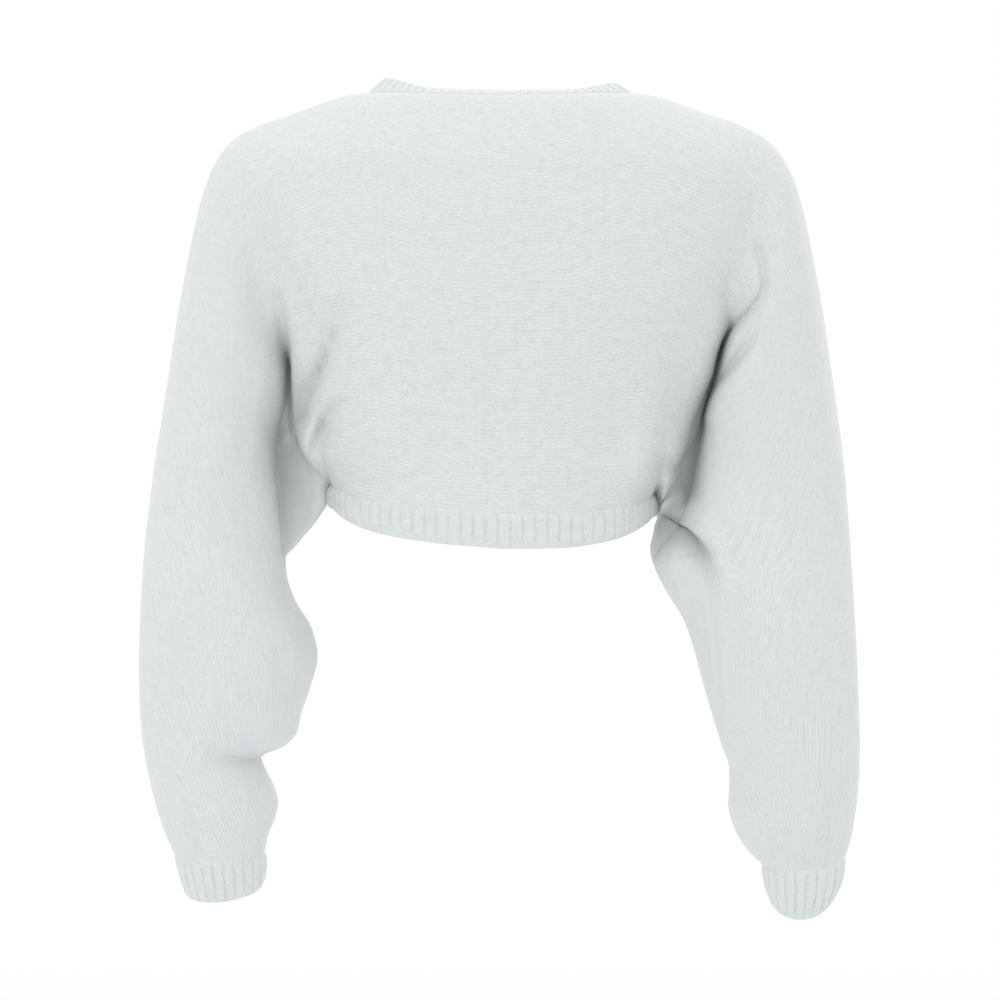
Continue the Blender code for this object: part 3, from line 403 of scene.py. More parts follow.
# %% Table of the folds
PATHS = {
    "left_sleeve_lip": (
        (176, -166), (173, -184), (171, -200), (170.2, -214), (168.6, -235), (165.6, -256), (161, -273),
    ),
    "left_web_valley": (
        (170, -212), (168, -234), (165.5, -252), (160.5, -272), (154, -286), (148, -295), (142.6, -308),
        (138, -320),
    ),
    "left_torso_edge": (
        (165, -216), (163, -236), (160.5, -252), (156, -270), (150.5, -280), (145, -290), (139.5, -304),
        (135, -318),
    ),
    "left_sleeve_edge": ((184, -184), (181, -206), (179, -228), (177, -250), (174, -270)),
    "left_lobe": ((162, -222), (158, -240), (156, -254)),
    "left_torso_lip": (
        (123, -172), (128.5, -192), (134, -207), (138.5, -221), (145.5, -235), (150.5, -246), (153.5, -257.6),
        (155, -268),
    ),
    "left_inner_lobe": ((136, -226), (146, -244), (151, -262), (153, -276)),
    "left_short_crease": ((127, -247), (135.5, -254), (139.5, -262), (141.5, -275), (145, -287)),
    "left_lobe_trough": ((150, -150), (151, -176), (152, -200)),
    "left_diagonal": ((194, -92), (178, -126), (162, -160), (148, -190)),
    "left_edge_step": ((172, -268), (183, -290), (186, -310), (183, -330)),
    "left_web_edge": ((184, -268), (182, -300), (180, -326), (176, -350), (172, -368)),
    "left_roll": ((160, -396), (152, -420), (151, -448), (160, -478)),
    "left_elbow_dip": ((158, -430), (172, -452), (170, -486)),
    "left_elbow_edge": ((150, -408), (146, -434), (149, -462), (157, -490)),
    "left_notch": ((186, -533), (214, -527), (240, -520)),
    "left_wrist_dip": ((190, -548), (184, -566), (192, -590)),
    "right_upper_trough": ((-186, -66), (-198, -94), (-201, -126)),
    "right_torso_lip": (
        (-202, -128), (-204.4, -154), (-197, -169), (-188, -178), (-177.6, -189), (-171.4, -200),
        (-167.4, -213), (-162.8, -236), (-157.4, -259), (-151.4, -277), (-143, -292), (-136, -306),
        (-128, -322),
    ),
    "right_torso_edge": (
        (-178, -176), (-167, -188), (-159.6, -202), (-155, -222), (-150, -248), (-144, -270), (-134, -288),
    ),
    "right_second": ((-200, -186), (-196, -202), (-185, -220), (-175, -234), (-168, -246), (-165, -256)),
    "right_second_lobe": ((-186, -194), (-178, -210), (-172, -228), (-169, -242)),
    "right_sleeve_lip": (
        (-178, -228), (-170, -245), (-165.4, -262), (-161.4, -280), (-159.4, -300), (-158, -318),
    ),
    "right_torso_dent": ((-150, -284), (-136, -296), (-118, -300)),
    "right_roll_start": ((-158, -322), (-147, -318), (-136, -320)),
    "right_roll": (
        (-122, -323), (-133, -330), (-144, -336), (-155, -342), (-164, -354), (-169, -368), (-168, -388),
    ),
    "right_roll_top": ((-132, -316), (-148, -324), (-163, -333), (-174, -346), (-181, -366), (-183, -390)),
    "right_seam_dip": ((-190, -542), (-208, -572), (-226, -600)),
    "right_outer_trough": ((-272, -556), (-264, -590), (-258, -606)),
    "right_wrist_dip": ((-206, -598), (-226, -606), (-240, -604)),
    "front_left_crease": ((188, -120), (172, -180), (160, -240), (150, -290)),
    "front_left_side": ((120, -170), (136, -220), (146, -262)),
    "front_right_crease": ((-190, -116), (-176, -172), (-162, -236), (-146, -292)),
    "front_right_side": ((-112, -186), (-130, -228), (-142, -270)),
    "front_left_elbow": ((178, -392), (214, -384), (250, -392)),
    "front_right_elbow": ((-170, -410), (-206, -396), (-246, -402)),
}
FOLD_COLUMNS = ("path", "face", "lip_width", "far_width", "depth", "lean", "start", "end")
FOLD_ROWS = (
    ("left_sleeve_lip", "back", 4.0, 5.5, 10.0, -8.0, 0.3, 0.5),
    ("left_sleeve_edge", "back", 5.0, 13.0, -9.0, 0.0, 0.3, 0.8),
    ("left_lobe", "back", 7.0, 7.0, 9.0, 0.0, 0.2, 0.9),
    ("left_web_valley", "back", 4.0, 8.0, 12.0, 8.0, 0.2, 0.8),
    ("left_torso_edge", "back", 9.0, 3.0, -8.0, 0.0, 0.0, 0.6),
    ("left_torso_lip", "back", 5.5, 8.0, 17.0, 2.0, 0.3, 1.0),
    ("left_inner_lobe", "back", 6.0, 6.0, -5.0, 0.0, 0.1, 0.8),
    ("left_short_crease", "back", 4.0, 6.0, 14.0, -2.0, 0.3, 0.5),
    ("left_lobe_trough", "back", 9.0, 9.0, 4.0, 0.0, 0.2, 0.6),
    ("left_diagonal", "back", 9.0, 14.0, 5.0, 0.0, 0.1, 0.5),
    ("left_edge_step", "back", 4.0, 5.0, -3.0, 0.0, 0.3, 0.3),
    ("left_web_edge", "back", 3.5, 10.0, 16.0, -6.0, 0.3, 0.6),
    ("left_roll", "back", 10.0, 10.0, 5.0, 0.0, 0.4, 0.5),
    ("left_elbow_dip", "back", 9.0, 9.0, 4.0, 0.0, 0.3, 0.3),
    ("left_elbow_edge", "back", 6.0, 6.0, 5.0, 0.0, 0.3, 0.5),
    ("left_notch", "back", 6.0, 10.0, 9.0, 0.0, 1.0, 0.0),
    ("left_wrist_dip", "back", 6.0, 8.0, 4.0, 0.0, 0.5, 0.2),
    ("right_upper_trough", "back", 12.0, 12.0, 4.0, 0.0, 0.1, 1.0),
    ("right_torso_lip", "back", 4.5, 5.5, 13.0, -9.5, 0.3, 0.3),
    ("right_torso_edge", "back", 5.0, 13.0, -7.0, 0.0, 0.4, 0.2),
    ("right_second", "back", 4.0, 9.0, 15.0, 4.0, 0.1, 0.9),
    ("right_second_lobe", "back", 6.0, 7.0, -9.0, 0.0, 0.3, 0.6),
    ("right_sleeve_lip", "back", 3.5, 7.0, 18.0, 2.5, 0.4, 0.9),
    ("right_torso_dent", "back", 8.0, 8.0, 16.0, 0.0, 0.9, 0.2),
    ("right_roll_start", "back", 8.0, 3.0, -8.0, 0.0, 0.3, 0.6),
    ("right_roll", "back", 4.0, 19.0, 34.0, 11.0, 1.0, 0.2),
    ("right_roll_top", "back", 8.0, 8.0, -8.0, 0.0, 0.8, 0.2),
    ("right_seam_dip", "back", 7.0, 7.0, 5.0, 0.0, 0.6, 0.8),
    ("right_outer_trough", "back", 8.0, 8.0, 4.0, 0.0, 0.3, 0.8),
    ("right_wrist_dip", "back", 6.0, 6.0, 4.0, 0.0, 0.8, 0.2),
    ("front_left_crease", "front", 6.0, 13.0, 20.0, 6.0, 0.2, 0.8),
    ("front_left_side", "front", 7.0, 10.0, 11.0, -4.0, 0.2, 1.0),
    ("front_right_crease", "front", 6.0, 13.0, 19.0, -6.0, 0.2, 0.8),
    ("front_right_side", "front", 7.0, 10.0, 12.0, 4.0, 0.2, 1.0),
    ("front_left_elbow", "front", 8.0, 12.0, 8.0, 2.0, 1.0, 0.2),
    ("front_right_elbow", "front", 8.0, 12.0, 7.0, -2.0, 1.0, 0.2),
)
PATH_POINTS = 80
FOLD_REACH = 4
LIP_PLACE = 6.0
LIP_REACH = 9.0

# %% How folds move the cloth
def smooth_path(points, count):
    """Points on a smooth curve through a path's own points."""
    points = np.asarray(points, float)
    along = np.concatenate([[0.0], np.cumsum(np.hypot(*np.diff(points, axis=0).T))])
    at = np.linspace(0.0, along[-1], count)
    return np.stack([steady(at, along, points[:, 0]), steady(at, along, points[:, 1])], axis=1)


def folded(x, z, face):
    """How far the folds sink the cloth at each place of the plane, and how far they push it along x and z.

    A fold that leans has a narrow side under its lip and a wider one across from it. A lean above 0 pushes
    the lip on the right of the path, seen from behind and going down it, over the trough.
    """
    sunk, push_x, push_z = np.zeros_like(x), np.zeros_like(x), np.zeros_like(x)
    for fold in named(FOLD_COLUMNS, FOLD_ROWS):
        if fold["face"] != face:
            continue
        path = smooth_path(PATHS[fold["path"]], PATH_POINTS)
        run = np.gradient(path, axis=0)
        run /= np.linalg.norm(run, axis=1, keepdims=True)
        reach = FOLD_REACH * max(fold["lip_width"], fold["far_width"])
        low, high = path.min(axis=0) - reach, path.max(axis=0) + reach
        near = (x > low[0]) & (x < high[0]) & (z > low[1]) & (z < high[1])
        if not near.any():
            continue
        off_x, off_z = x[near][:, None] - path[:, 0], z[near][:, None] - path[:, 1]
        gaps = np.hypot(off_x, off_z)
        nearest = gaps.argmin(axis=-1)
        gap = gaps.min(axis=-1)
        ease = np.interp(nearest / (PATH_POINTS - 1), (0.0, 0.5, 1.0), (fold["start"], 1.0, fold["end"]))
        pick = np.arange(len(nearest))
        across = off_x[pick, nearest] * run[nearest, 1] - off_z[pick, nearest] * run[nearest, 0]
        toward_lip = across * (1.0 if fold["lean"] >= 0 else -1.0) / np.maximum(gap, 1e-6)
        middle = 0.5 * (fold["lip_width"] + fold["far_width"])
        width = middle - 0.5 * (fold["far_width"] - fold["lip_width"]) * toward_lip
        sunk[near] += fold["depth"] * ease * np.exp(-((gap / width) ** 2))
        if fold["lean"]:
            side_gap = across * np.sign(fold["lean"])
            lip = np.exp(-(((side_gap - LIP_PLACE) / LIP_REACH) ** 2))
            lip *= np.exp(-np.maximum(gap - np.abs(across), 0.0) / fold["lip_width"])
            push = -fold["lean"] * ease * lip
            push_x[near] += push * run[nearest, 1]
            push_z[near] -= push * run[nearest, 0]
    return sunk, push_x, push_z


# %% [markdown]
# ## Panels
# The back is one sheet from cuff to cuff, and each front is a sheet of its own. A sheet is a grid of
# points, with a thin wall inside it. Its UV map is in metres along the wales and across them, so the knit
# follows the cloth: level over the back and down along the sleeves.

# %% Points of a panel
ACROSS_STEPS = 144
DENSER_BELOW = 0.13
NECK_POINT_X = 104.0
FROM_NECK_X = NECK_POINT_X - 0.1
FORM_BLEND = 15.0
FOLD_FADE_DEPTH = 30.0
PUSH_FADE_DEPTH = 9.0
PUSH_FADE_TURN = 0.1
HEM_FADE_TOP = -322.0
HEM_FADE_DEPTH = 24.0
HEM_BLEND_FROM = 0.7
HEM_SIDE_BLEND = 34.0
WEB_ROOM = 0.75
WEB_EDGE = 0.45
WEB_DEEPER = 1.5
SEAM_ROUNDING = 0.12
SEAM_LIFT_TO = 0.25
CLOTH_WALL = 2.4
WAVES = 3
WAVE_COLUMNS = ("long_x", "long_z", "start", "height")
WAVE_ROWS = (
    (61.0, 118.0, 0.7, 0.5),
    (-83.0, 67.0, 2.1, 0.35),
    (37.0, -149.0, 4.0, 0.3),
)


def unevenness(x, z):
    """Low waves that keep the cloth from looking machined, in millimetres."""
    height = np.zeros_like(x)
    for wave in named(WAVE_COLUMNS, WAVE_ROWS):
        phase = x / wave["long_x"] * WAVES + z / wave["long_z"] * WAVES + wave["start"]
        height += wave["height"] * np.sin(phase)
    return height


def ring_grid(rows, turn, face, creased=True):
    """Points of all sections by turn: 0 on the over-arm line, with the shoulder seam, 1 at the low line."""
    angle = math.pi * rows["closing"][:, None]
    share = (1 - np.cos(angle * turn)) / (1 - np.cos(angle))
    x = rows["top_x"][:, None] * (1 - share) + rows["low_x"][:, None] * share
    z = rows["top_z"][:, None] * (1 - share) + rows["low_z"][:, None] * share
    is_body = rows["is_body"][:, None] > 0.5
    on_shoulder = (rows["is_body"] > 0.5) & (np.abs(rows["top_x"]) >= FROM_NECK_X)
    over = from_table(np.abs(rows["top_x"]), SHOULDER_COLUMNS, SHOULDER_ROWS, "x", "z") - rows["top_z"]
    lift = np.where(on_shoulder, over, 0.0)[:, None] * (1 - smooth_step(turn / SEAM_LIFT_TO))
    torso, rise = torso_depth(x, z + lift, face)
    fade = smooth_step((z - HEM_FADE_TOP + HEM_FADE_DEPTH) / HEM_FADE_DEPTH)
    torso = np.where(is_body, torso, torso * fade)
    arm_part = np.clip(share / rows["arm_share"][:, None], 0.0, 1.0)
    arm = rows["tube"][:, None] * np.sqrt(4 * arm_part * (1 - arm_part))
    depth = smooth_largest(torso, arm, FORM_BLEND * np.where(is_body, rise, 1.0))
    arm_room = arm / np.maximum(rows["tube"][:, None], 1.0)
    room = np.maximum(torso_depth(x, z, "back")[0] / HEM_BACK_DEPTH, arm_room)
    web = smooth_step(1 - room / WEB_ROOM) * smooth_step((1 - turn) / WEB_EDGE)
    if creased:
        sunk, push_x, push_z = folded(x, z, face)
        still = smooth_step((1 - turn) / PUSH_FADE_TURN) * smooth_step(depth / PUSH_FADE_DEPTH)
        sunk = np.where(sunk > 0, sunk * smooth_step(depth / FOLD_FADE_DEPTH), sunk * still)
        depth = depth - sunk - unevenness(x, z) * smooth_step(depth / FOLD_FADE_DEPTH)
    rounding = round_start((1 - turn) / SEAM_ROUNDING)
    target = hem_depth(rows["low_x"], face)[:, None]
    on_hem = depth + (target - depth[:, -1:]) * smooth_step((turn - HEM_BLEND_FROM) / (1 - HEM_BLEND_FROM))
    on_side = depth * rounding + target * (1 - rounding)
    to_side = HEM_HALF_WIDTH - np.abs(rows["low_x"] - HEM_CENTRE_X)[:, None]
    by_side = smooth_step(1 - to_side / HEM_SIDE_BLEND)
    on_body = (1 - by_side) * on_hem + by_side * on_side
    depth = np.where(is_body, on_body, depth * round_start(turn / SEAM_ROUNDING) * rounding)
    if creased:
        x = x + push_x * still
        z = z + push_z * still
    outward = 1.0 if face == "back" else -1.0
    y = rows["forward"][:, None] - WEB_DEEPER * rows["web_forward"][:, None] * web
    y = y + rows["top_y"][:, None] * (1 - rise) + outward * depth
    z = z - rows["tilt"][:, None] * outward * depth
    return np.stack([x, y, z], axis=2)


def panel_grid(rows, face, creased=True):
    """A panel's points. The seam's turn moves cloth from the back to the front where the seam is twisted."""
    even = np.linspace(0.0, 1.0, ACROSS_STEPS + 1)[None, :]
    even = even + DENSER_BELOW * np.sin(math.pi * even)
    share = 0.5 * even + 0.5 * np.arccos(1 - 2 * even) / math.pi
    if face == "back":
        return ring_grid(rows, share * rows["seam_turn"][:, None], "back", creased)
    turn = share * (2.0 - rows["seam_turn"][:, None])
    own = ring_grid(rows, np.minimum(turn, 1.0), "front", creased)
    beyond = ring_grid(rows, np.clip(2.0 - turn, 0.0, 1.0), "back", creased)
    return np.where(turn[..., None] <= 1.0, own, beyond)


# %% Normals of a sheet
def grid_normals(grid, outward):
    """Unit normals of a grid of points; outward says which of the two sides is out."""
    along = np.gradient(grid, axis=0)
    across = np.gradient(grid, axis=1)
    normal = np.cross(along, across)
    length = np.linalg.norm(normal, axis=2, keepdims=True)
    return outward * normal / np.maximum(length, 1e-9)


def smooth_over_seam(back, front, front_start, side, closed_from):
    """Normals of both halves of the sections that meet on the over-arm line, smooth across the seams."""
    count = min(len(back), len(front) - front_start)
    ring = np.concatenate([front[-count:, ::-1], back[-count:, 1:]], axis=1)
    along = np.gradient(ring, axis=0)
    across = np.gradient(ring, axis=1)
    wrapped = ring[closed_from:, 1] - ring[closed_from:, -2]
    across[closed_from:, 0] = wrapped
    across[closed_from:, -1] = wrapped
    normal = np.cross(along, across)
    normal *= side / np.maximum(np.linalg.norm(normal, axis=2, keepdims=True), 1e-9)
    half = front.shape[1] - 1
    return normal[:, half:], normal[:, half::-1]


# %% UV map in metres along the wales
BODY_WALE_RUN = 340.0
ARM_WALES_FROM = 90.0
WALE_SMOOTHING = 14.0


def evened(values, rows):
    """Values smoothed from section to section, by their places along the panel."""
    place = rows["to_side"]
    weight = np.exp(-(((place[:, None] - place) / WALE_SMOOTHING) ** 2)) * np.gradient(place)
    return (weight / weight.sum(axis=1, keepdims=True)) @ values


def wale_map(rows, face, side):
    """u along the wales and v across them, in metres, measured on the cloth before it creases."""
    grid = panel_grid(rows, face, creased=False)
    across = np.linalg.norm(np.diff(grid, axis=1), axis=2)
    v = np.concatenate([np.zeros((len(grid), 1)), np.cumsum(across, axis=1)], axis=1)
    on_arm = smooth_step(rows["to_side"] / ARM_WALES_FROM)[:, None]
    v = evened(v * ((1 - on_arm) * BODY_WALE_RUN / v[:, -1:] + on_arm), rows)
    along = np.linalg.norm(np.diff(grid, axis=0), axis=2)
    u = np.concatenate([np.zeros((1, grid.shape[1])), np.cumsum(along, axis=0)])
    return np.stack([side * u, v], axis=2) * MILLIMETRE


# %% A closed sheet from a grid
SHARP_ANGLE = math.radians(60)


def wall_faces(rows, columns):
    """Quads of a closed wall over a grid: outer face, inner face and the four rims."""
    def outer(i, j):
        return i * columns + j

    def inner(i, j):
        return rows * columns + i * columns + j

    faces = []
    for i in range(rows - 1):
        for j in range(columns - 1):
            faces.append((outer(i, j), outer(i + 1, j), outer(i + 1, j + 1), outer(i, j + 1)))
            faces.append((inner(i, j), inner(i, j + 1), inner(i + 1, j + 1), inner(i + 1, j)))
    for i in range(rows - 1):
        last = columns - 1
        faces.append((outer(i, 0), inner(i, 0), inner(i + 1, 0), outer(i + 1, 0)))
        faces.append((outer(i, last), outer(i + 1, last), inner(i + 1, last), inner(i, last)))
    for j in range(columns - 1):
        last = rows - 1
        faces.append((outer(0, j), outer(0, j + 1), inner(0, j + 1), inner(0, j)))
        faces.append((outer(last, j), inner(last, j), inner(last, j + 1), outer(last, j + 1)))
    return faces


def add_sheet(name, outer, inner, uv, faces):
    """A smooth mesh of a wall's two faces and rims, its own UV map on it and its faces pointing out."""
    points = np.concatenate([outer.reshape(-1, 3), inner.reshape(-1, 3)])
    mesh = bpy.data.meshes.new(name)
    mesh.from_pydata((points * MILLIMETRE).tolist(), [], faces)
    corner_uv = np.concatenate([uv.reshape(-1, 2)] * 2)
    layer = mesh.uv_layers.new(name="wales")
    corners = np.zeros(len(mesh.loops), dtype=np.int32)
    mesh.loops.foreach_get("vertex_index", corners)
    layer.data.foreach_set("uv", corner_uv[corners].astype(np.float32).ravel())
    solid = bmesh.new()
    solid.from_mesh(mesh)
    bmesh.ops.recalc_face_normals(solid, faces=solid.faces)
    solid.to_mesh(mesh)
    solid.free()
    mesh.shade_smooth()
    mesh.set_sharp_from_angle(angle=SHARP_ANGLE)
    obj = bpy.data.objects.new(name, mesh)
    bpy.context.scene.collection.objects.link(obj)
    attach(obj, "root")
    print(name, len(mesh.polygons), "faces")
    return obj


# %% Back and fronts
sides = {}
for side, name in ((1, "left"), (-1, "right")):
    part = {}
    for face in ("back", "front"):
        part[face + "_rows"] = finer_sections(sections_of(side, face))
        part[face] = panel_grid(part[face + "_rows"], face)
        part[face + "_uv"] = wale_map(part[face + "_rows"], face, side)
    part["neck"] = int(np.argmax(np.abs(part["front_rows"]["top_x"]) >= FROM_NECK_X))
    part["back_neck"] = int(np.argmax(np.abs(part["back_rows"]["top_x"]) >= FROM_NECK_X))
    part["hem_side"] = int(np.argmax(part["front_rows"]["is_body"] < 0.5))
    part["back_hem_side"] = int(np.argmax(part["back_rows"]["is_body"] < 0.5))
    part["back_normals"] = grid_normals(part["back"], side)
    part["front_normals"] = grid_normals(part["front"], -side)
    shared = min(len(part["front"]) - part["neck"], len(part["back"]))
    closed_from = part["hem_side"] - (len(part["front"]) - shared)
    joined = smooth_over_seam(part["back"], part["front"], len(part["front"]) - shared, side, closed_from)
    part["back_normals"][-shared:] = joined[0]
    part["front_normals"][-shared:] = joined[1]
    sides[name] = part
    print(name, part["back"].shape, part["front"].shape, shared)

left, right = sides["left"], sides["right"]
middle = right["back_normals"][:1] + left["back_normals"][:1]
middle /= np.linalg.norm(middle, axis=2, keepdims=True)
left["back_normals"][:1] = middle
right["back_normals"][:1] = middle
back_grid = np.concatenate([right["back"][:0:-1], left["back"]])
back_normals = np.concatenate([right["back_normals"][:0:-1], left["back_normals"]])
back_uv = np.concatenate([right["back_uv"][:0:-1], left["back_uv"]])
cloth = {}
back_wall = wall_faces(*back_grid.shape[:2])
cloth["back"] = add_sheet("back_cloth", back_grid, back_grid - CLOTH_WALL * back_normals, back_uv, back_wall)
for name, part in sides.items():
    inner = part["front"] - CLOTH_WALL * part["front_normals"]
    front_wall = wall_faces(*part["front"].shape[:2])
    cloth["front_" + name] = add_sheet(
        "front_" + name + "_cloth", part["front"], inner, part["front_uv"], front_wall)

# %% [markdown]
# ## Ribs
# The hem, the cuffs and the neckband are ribbed: broad backs of two wales with a narrow groove between
# them. The ribs are raised in the outer face of each band over a plain inside, and they fade in below
# the seam, where the knitter picks up the stitches.

# %% A ribbed band
RIB_WALL = 2.4
RIB_RAISE = 1.3
RIB_STEPS = 12
GROOVE_HALF = 0.115
MIDDLE_DIP = 0.14
MIDDLE_DIP_HALF = 0.07
BAND_STEPS = 10
EDGE_FADE = 5.0
EDGE_RAISE = 0.05
FADE_LEAD = 0.6
LIP_RUN = 1.6
LIP_ROUNDING = 0.5


def rib_profile(share):
    """Height of the rib at each share of its pitch: a groove at 0, a broad back and a slight middle dip."""
    from_groove = np.minimum(share, 1 - share)
    back = 1 - np.exp(-((from_groove / GROOVE_HALF) ** 2))
    return back - MIDDLE_DIP * np.exp(-(((share - 0.5) / MIDDLE_DIP_HALF) ** 2))


def along_line(line, shares, closed):
    """Values of a band's base at shares of its length, measured on its first edge."""
    if closed:
        line = np.concatenate([line, line[:1]])
    first = line[:, 0, :3]
    run = np.concatenate([[0.0], np.cumsum(np.linalg.norm(np.diff(first, axis=0), axis=1))])
    places = shares * run[-1]
    flat = line.reshape(len(line), -1)
    values = np.stack([np.interp(places, run, flat[:, k]) for k in range(flat.shape[1])], axis=1)
    return values.reshape(len(places), *line.shape[1:]), run[-1]


def unit(vectors):
    return vectors / np.maximum(np.linalg.norm(vectors, axis=-1, keepdims=True), 1e-9)


def ribbed_band(base, normals, pitch, fade, closed=False):
    """A closed wall with ribs. base is a grid, first along the band and then across it, in millimetres."""
    both = np.concatenate([base, normals], axis=2)
    length = along_line(both, np.zeros(1), closed)[1]
    ribs = max(3, round(length / pitch))
    count = ribs * RIB_STEPS
    shares = np.arange(count if closed else count + 1) / count
    values = along_line(both, shares, closed)[0]
    across_from = np.linspace(0.0, 1.0, base.shape[1])
    across_to = np.linspace(0.0, 1.0, BAND_STEPS + 1)
    finer = np.empty((len(values), BAND_STEPS + 1, values.shape[2]))
    for k in range(values.shape[2]):
        for i in range(len(values)):
            finer[i, :, k] = np.interp(across_to, across_from, values[i, :, k])
    place, way = finer[..., :3], unit(finer[..., 3:])
    depth = np.concatenate([np.zeros((len(place), 1)), np.cumsum(
        np.linalg.norm(np.diff(place, axis=1), axis=2), axis=1)], axis=1)
    to_edge = depth[:, -1:] - depth
    raised = RIB_RAISE * rib_profile((shares * ribs) % 1.0)[:, None] * smooth_step((depth + FADE_LEAD) / fade)
    raised *= EDGE_RAISE + (1 - EDGE_RAISE) * smooth_step(to_edge / EDGE_FADE)
    lip = np.clip(to_edge / LIP_RUN, 0.0, 1.0)
    outer = place + way * (raised - LIP_ROUNDING * (1 - round_start(lip)))[..., None]
    inner = place - RIB_WALL * way
    uv = np.stack([depth, np.broadcast_to((shares * length)[:, None], depth.shape)], axis=2) * MILLIMETRE
    if closed:
        outer, inner = np.concatenate([outer, outer[:1]]), np.concatenate([inner, inner[:1]])
        seam_uv = uv[:1].copy()
        seam_uv[..., 1] += length * MILLIMETRE
        uv = np.concatenate([uv, seam_uv])
    return outer, inner, uv


def closed_faces(rows, columns):
    """Quads of a ring's wall: outer face, inner face and the two rims."""
    ring = rows - 1
    inside = rows * columns
    faces = []
    for i in range(ring):
        for j in range(columns - 1):
            a, b = i * columns + j, (i + 1) * columns + j
            faces.append((a, b, b + 1, a + 1))
            faces.append((inside + a, inside + a + 1, inside + b + 1, inside + b))
        for j in (0, columns - 1):
            a, b = i * columns + j, (i + 1) * columns + j
            faces.append((a, inside + a, inside + b, b) if j == 0 else (a, b, inside + b, inside + a))
    return faces


def add_band(name, base, normals, pitch, fade, closed=False):
    outer, inner, uv = ribbed_band(base, normals, pitch, fade, closed)
    faces = (closed_faces if closed else wall_faces)(*outer.shape[:2])
    band = add_sheet(name, outer, inner, uv, faces)
    if closed:
        solid = bmesh.new()
        solid.from_mesh(band.data)
        bmesh.ops.remove_doubles(solid, verts=solid.verts, dist=1e-6)
        bmesh.ops.recalc_face_normals(solid, faces=solid.faces)
        solid.to_mesh(band.data)
        solid.free()
    return band


# %% Hem ribs
HEM_RIB_PITCH = 9.6
HEM_RIB_FADE = 4.0
HEM_BAND_MIDDLE = 27.0
HEM_BAND_SIDE = 17.0
HEM_BAND_CURVE = 4
HEM_TUCK = 0.3
HEM_SIDE_GAP = 0.3
HEM_FRONT_GAP = 0.05
HEM_FLARE = 3.2
HEM_FLARE_RUN = 9.0
HEM_FLARE_SHARE = 0.15
HEM_LINES = 11


def hem_height(x):
    share = np.clip(np.abs(x - HEM_CENTRE_X) / HEM_HALF_WIDTH, 0.0, 1.0)
    return HEM_BAND_MIDDLE + (HEM_BAND_SIDE - HEM_BAND_MIDDLE) * share**HEM_BAND_CURVE


def shortened(line, first, last):
    """A line with a short stretch off each end."""
    line = line.copy()
    line[0] += first * unit(line[1] - line[0])
    line[-1] += last * unit(line[-2] - line[-1])
    return line


def add_hem(name, seam, normals):
    lines = []
    for share in np.linspace(0.0, 1.0, HEM_LINES):
        line = seam.copy()
        line[:, 2] += HEM_TUCK - share * (HEM_TUCK + hem_height(seam[:, 0]))
        for end in (0, -1):
            if np.abs(seam[end, 0]) > HEM_HALF_WIDTH - 2 * HEM_CENTRE_X:
                near_end = np.exp(-np.linalg.norm(seam - seam[end], axis=1) / HEM_FLARE_RUN)
                flare = HEM_FLARE * (1 - np.exp(-share / HEM_FLARE_SHARE))
                line[:, 0] += np.sign(seam[end, 0]) * flare * near_end
        lines.append(line)
    level = normals.copy()
    level[:, 2] = 0.0
    base, out = np.stack(lines, axis=1), np.stack([unit(level)] * HEM_LINES, axis=1)
    return add_band(name, base, out, HEM_RIB_PITCH, HEM_RIB_FADE)


ends = {name: part["back_hem_side"] + 1 for name, part in sides.items()}
seam = np.concatenate([right["back"][: ends["right"], -1][:0:-1], left["back"][: ends["left"], -1]])
seam_normals = np.concatenate(
    [right["back_normals"][: ends["right"], -1][:0:-1], left["back_normals"][: ends["left"], -1]])
cloth["hem_back"] = add_hem("hem_back_rib", shortened(seam, HEM_SIDE_GAP, HEM_SIDE_GAP), seam_normals)
for name, part in sides.items():
    end = part["hem_side"] + 1
    front_seam = shortened(part["front"][:end, -1], HEM_FRONT_GAP, HEM_SIDE_GAP)
    cloth["hem_front_" + name] = add_hem(
        "hem_front_" + name + "_rib", front_seam, part["front_normals"][:end, -1])

# %% [markdown]
# ## Neckband
# One ribbed strip runs up one front edge, round the neck and down the other. At the back it leans
# forward over the neck, at the neck points it stands up, and on the fronts it lies on the chest.

# %% Neckband
NECK_POINT_Y = 14.0
NECK_RIB_PITCH = 7.8
NECK_RIB_FADE = 3.0
BAND_DROP = {"left": 0.0, "right": 0.3}
BAND_DROP_FROM = 0.15
BAND_COLUMNS = ("at", "rise", "inward", "forward", "on_chest")
BAND_ROWS = (
    (0.00, 5.8, 0.0, 22.0, 0.0),
    (0.10, 6.4, 3.0, 21.0, 0.0),
    (0.14, 8.6, 6.0, 19.5, 0.0),
    (0.18, 12.0, 11.0, 16.5, 0.0),
    (0.225, 14.6, 16.0, 11.0, 0.0),
    (0.26, 14.0, 18.5, 8.0, 0.1),
    (0.31, 12.0, 21.0, 3.0, 0.6),
    (0.42, 9.0, 22.0, 0.0, 1.0),
    (0.62, 7.0, 22.5, 0.0, 1.0),
    (0.74, 2.0, 23.5, 0.0, 1.0),
    (1.00, 0.0, 24.0, 0.0, 1.0),
)


def chest_place(x, z):
    """y of the front's surface at a place of the plane near its edge."""
    depth, rise = torso_depth(x, z, "front")
    return NECK_POINT_Y * (1 - rise) - smooth_largest(depth, 0.0, FORM_BLEND * rise)


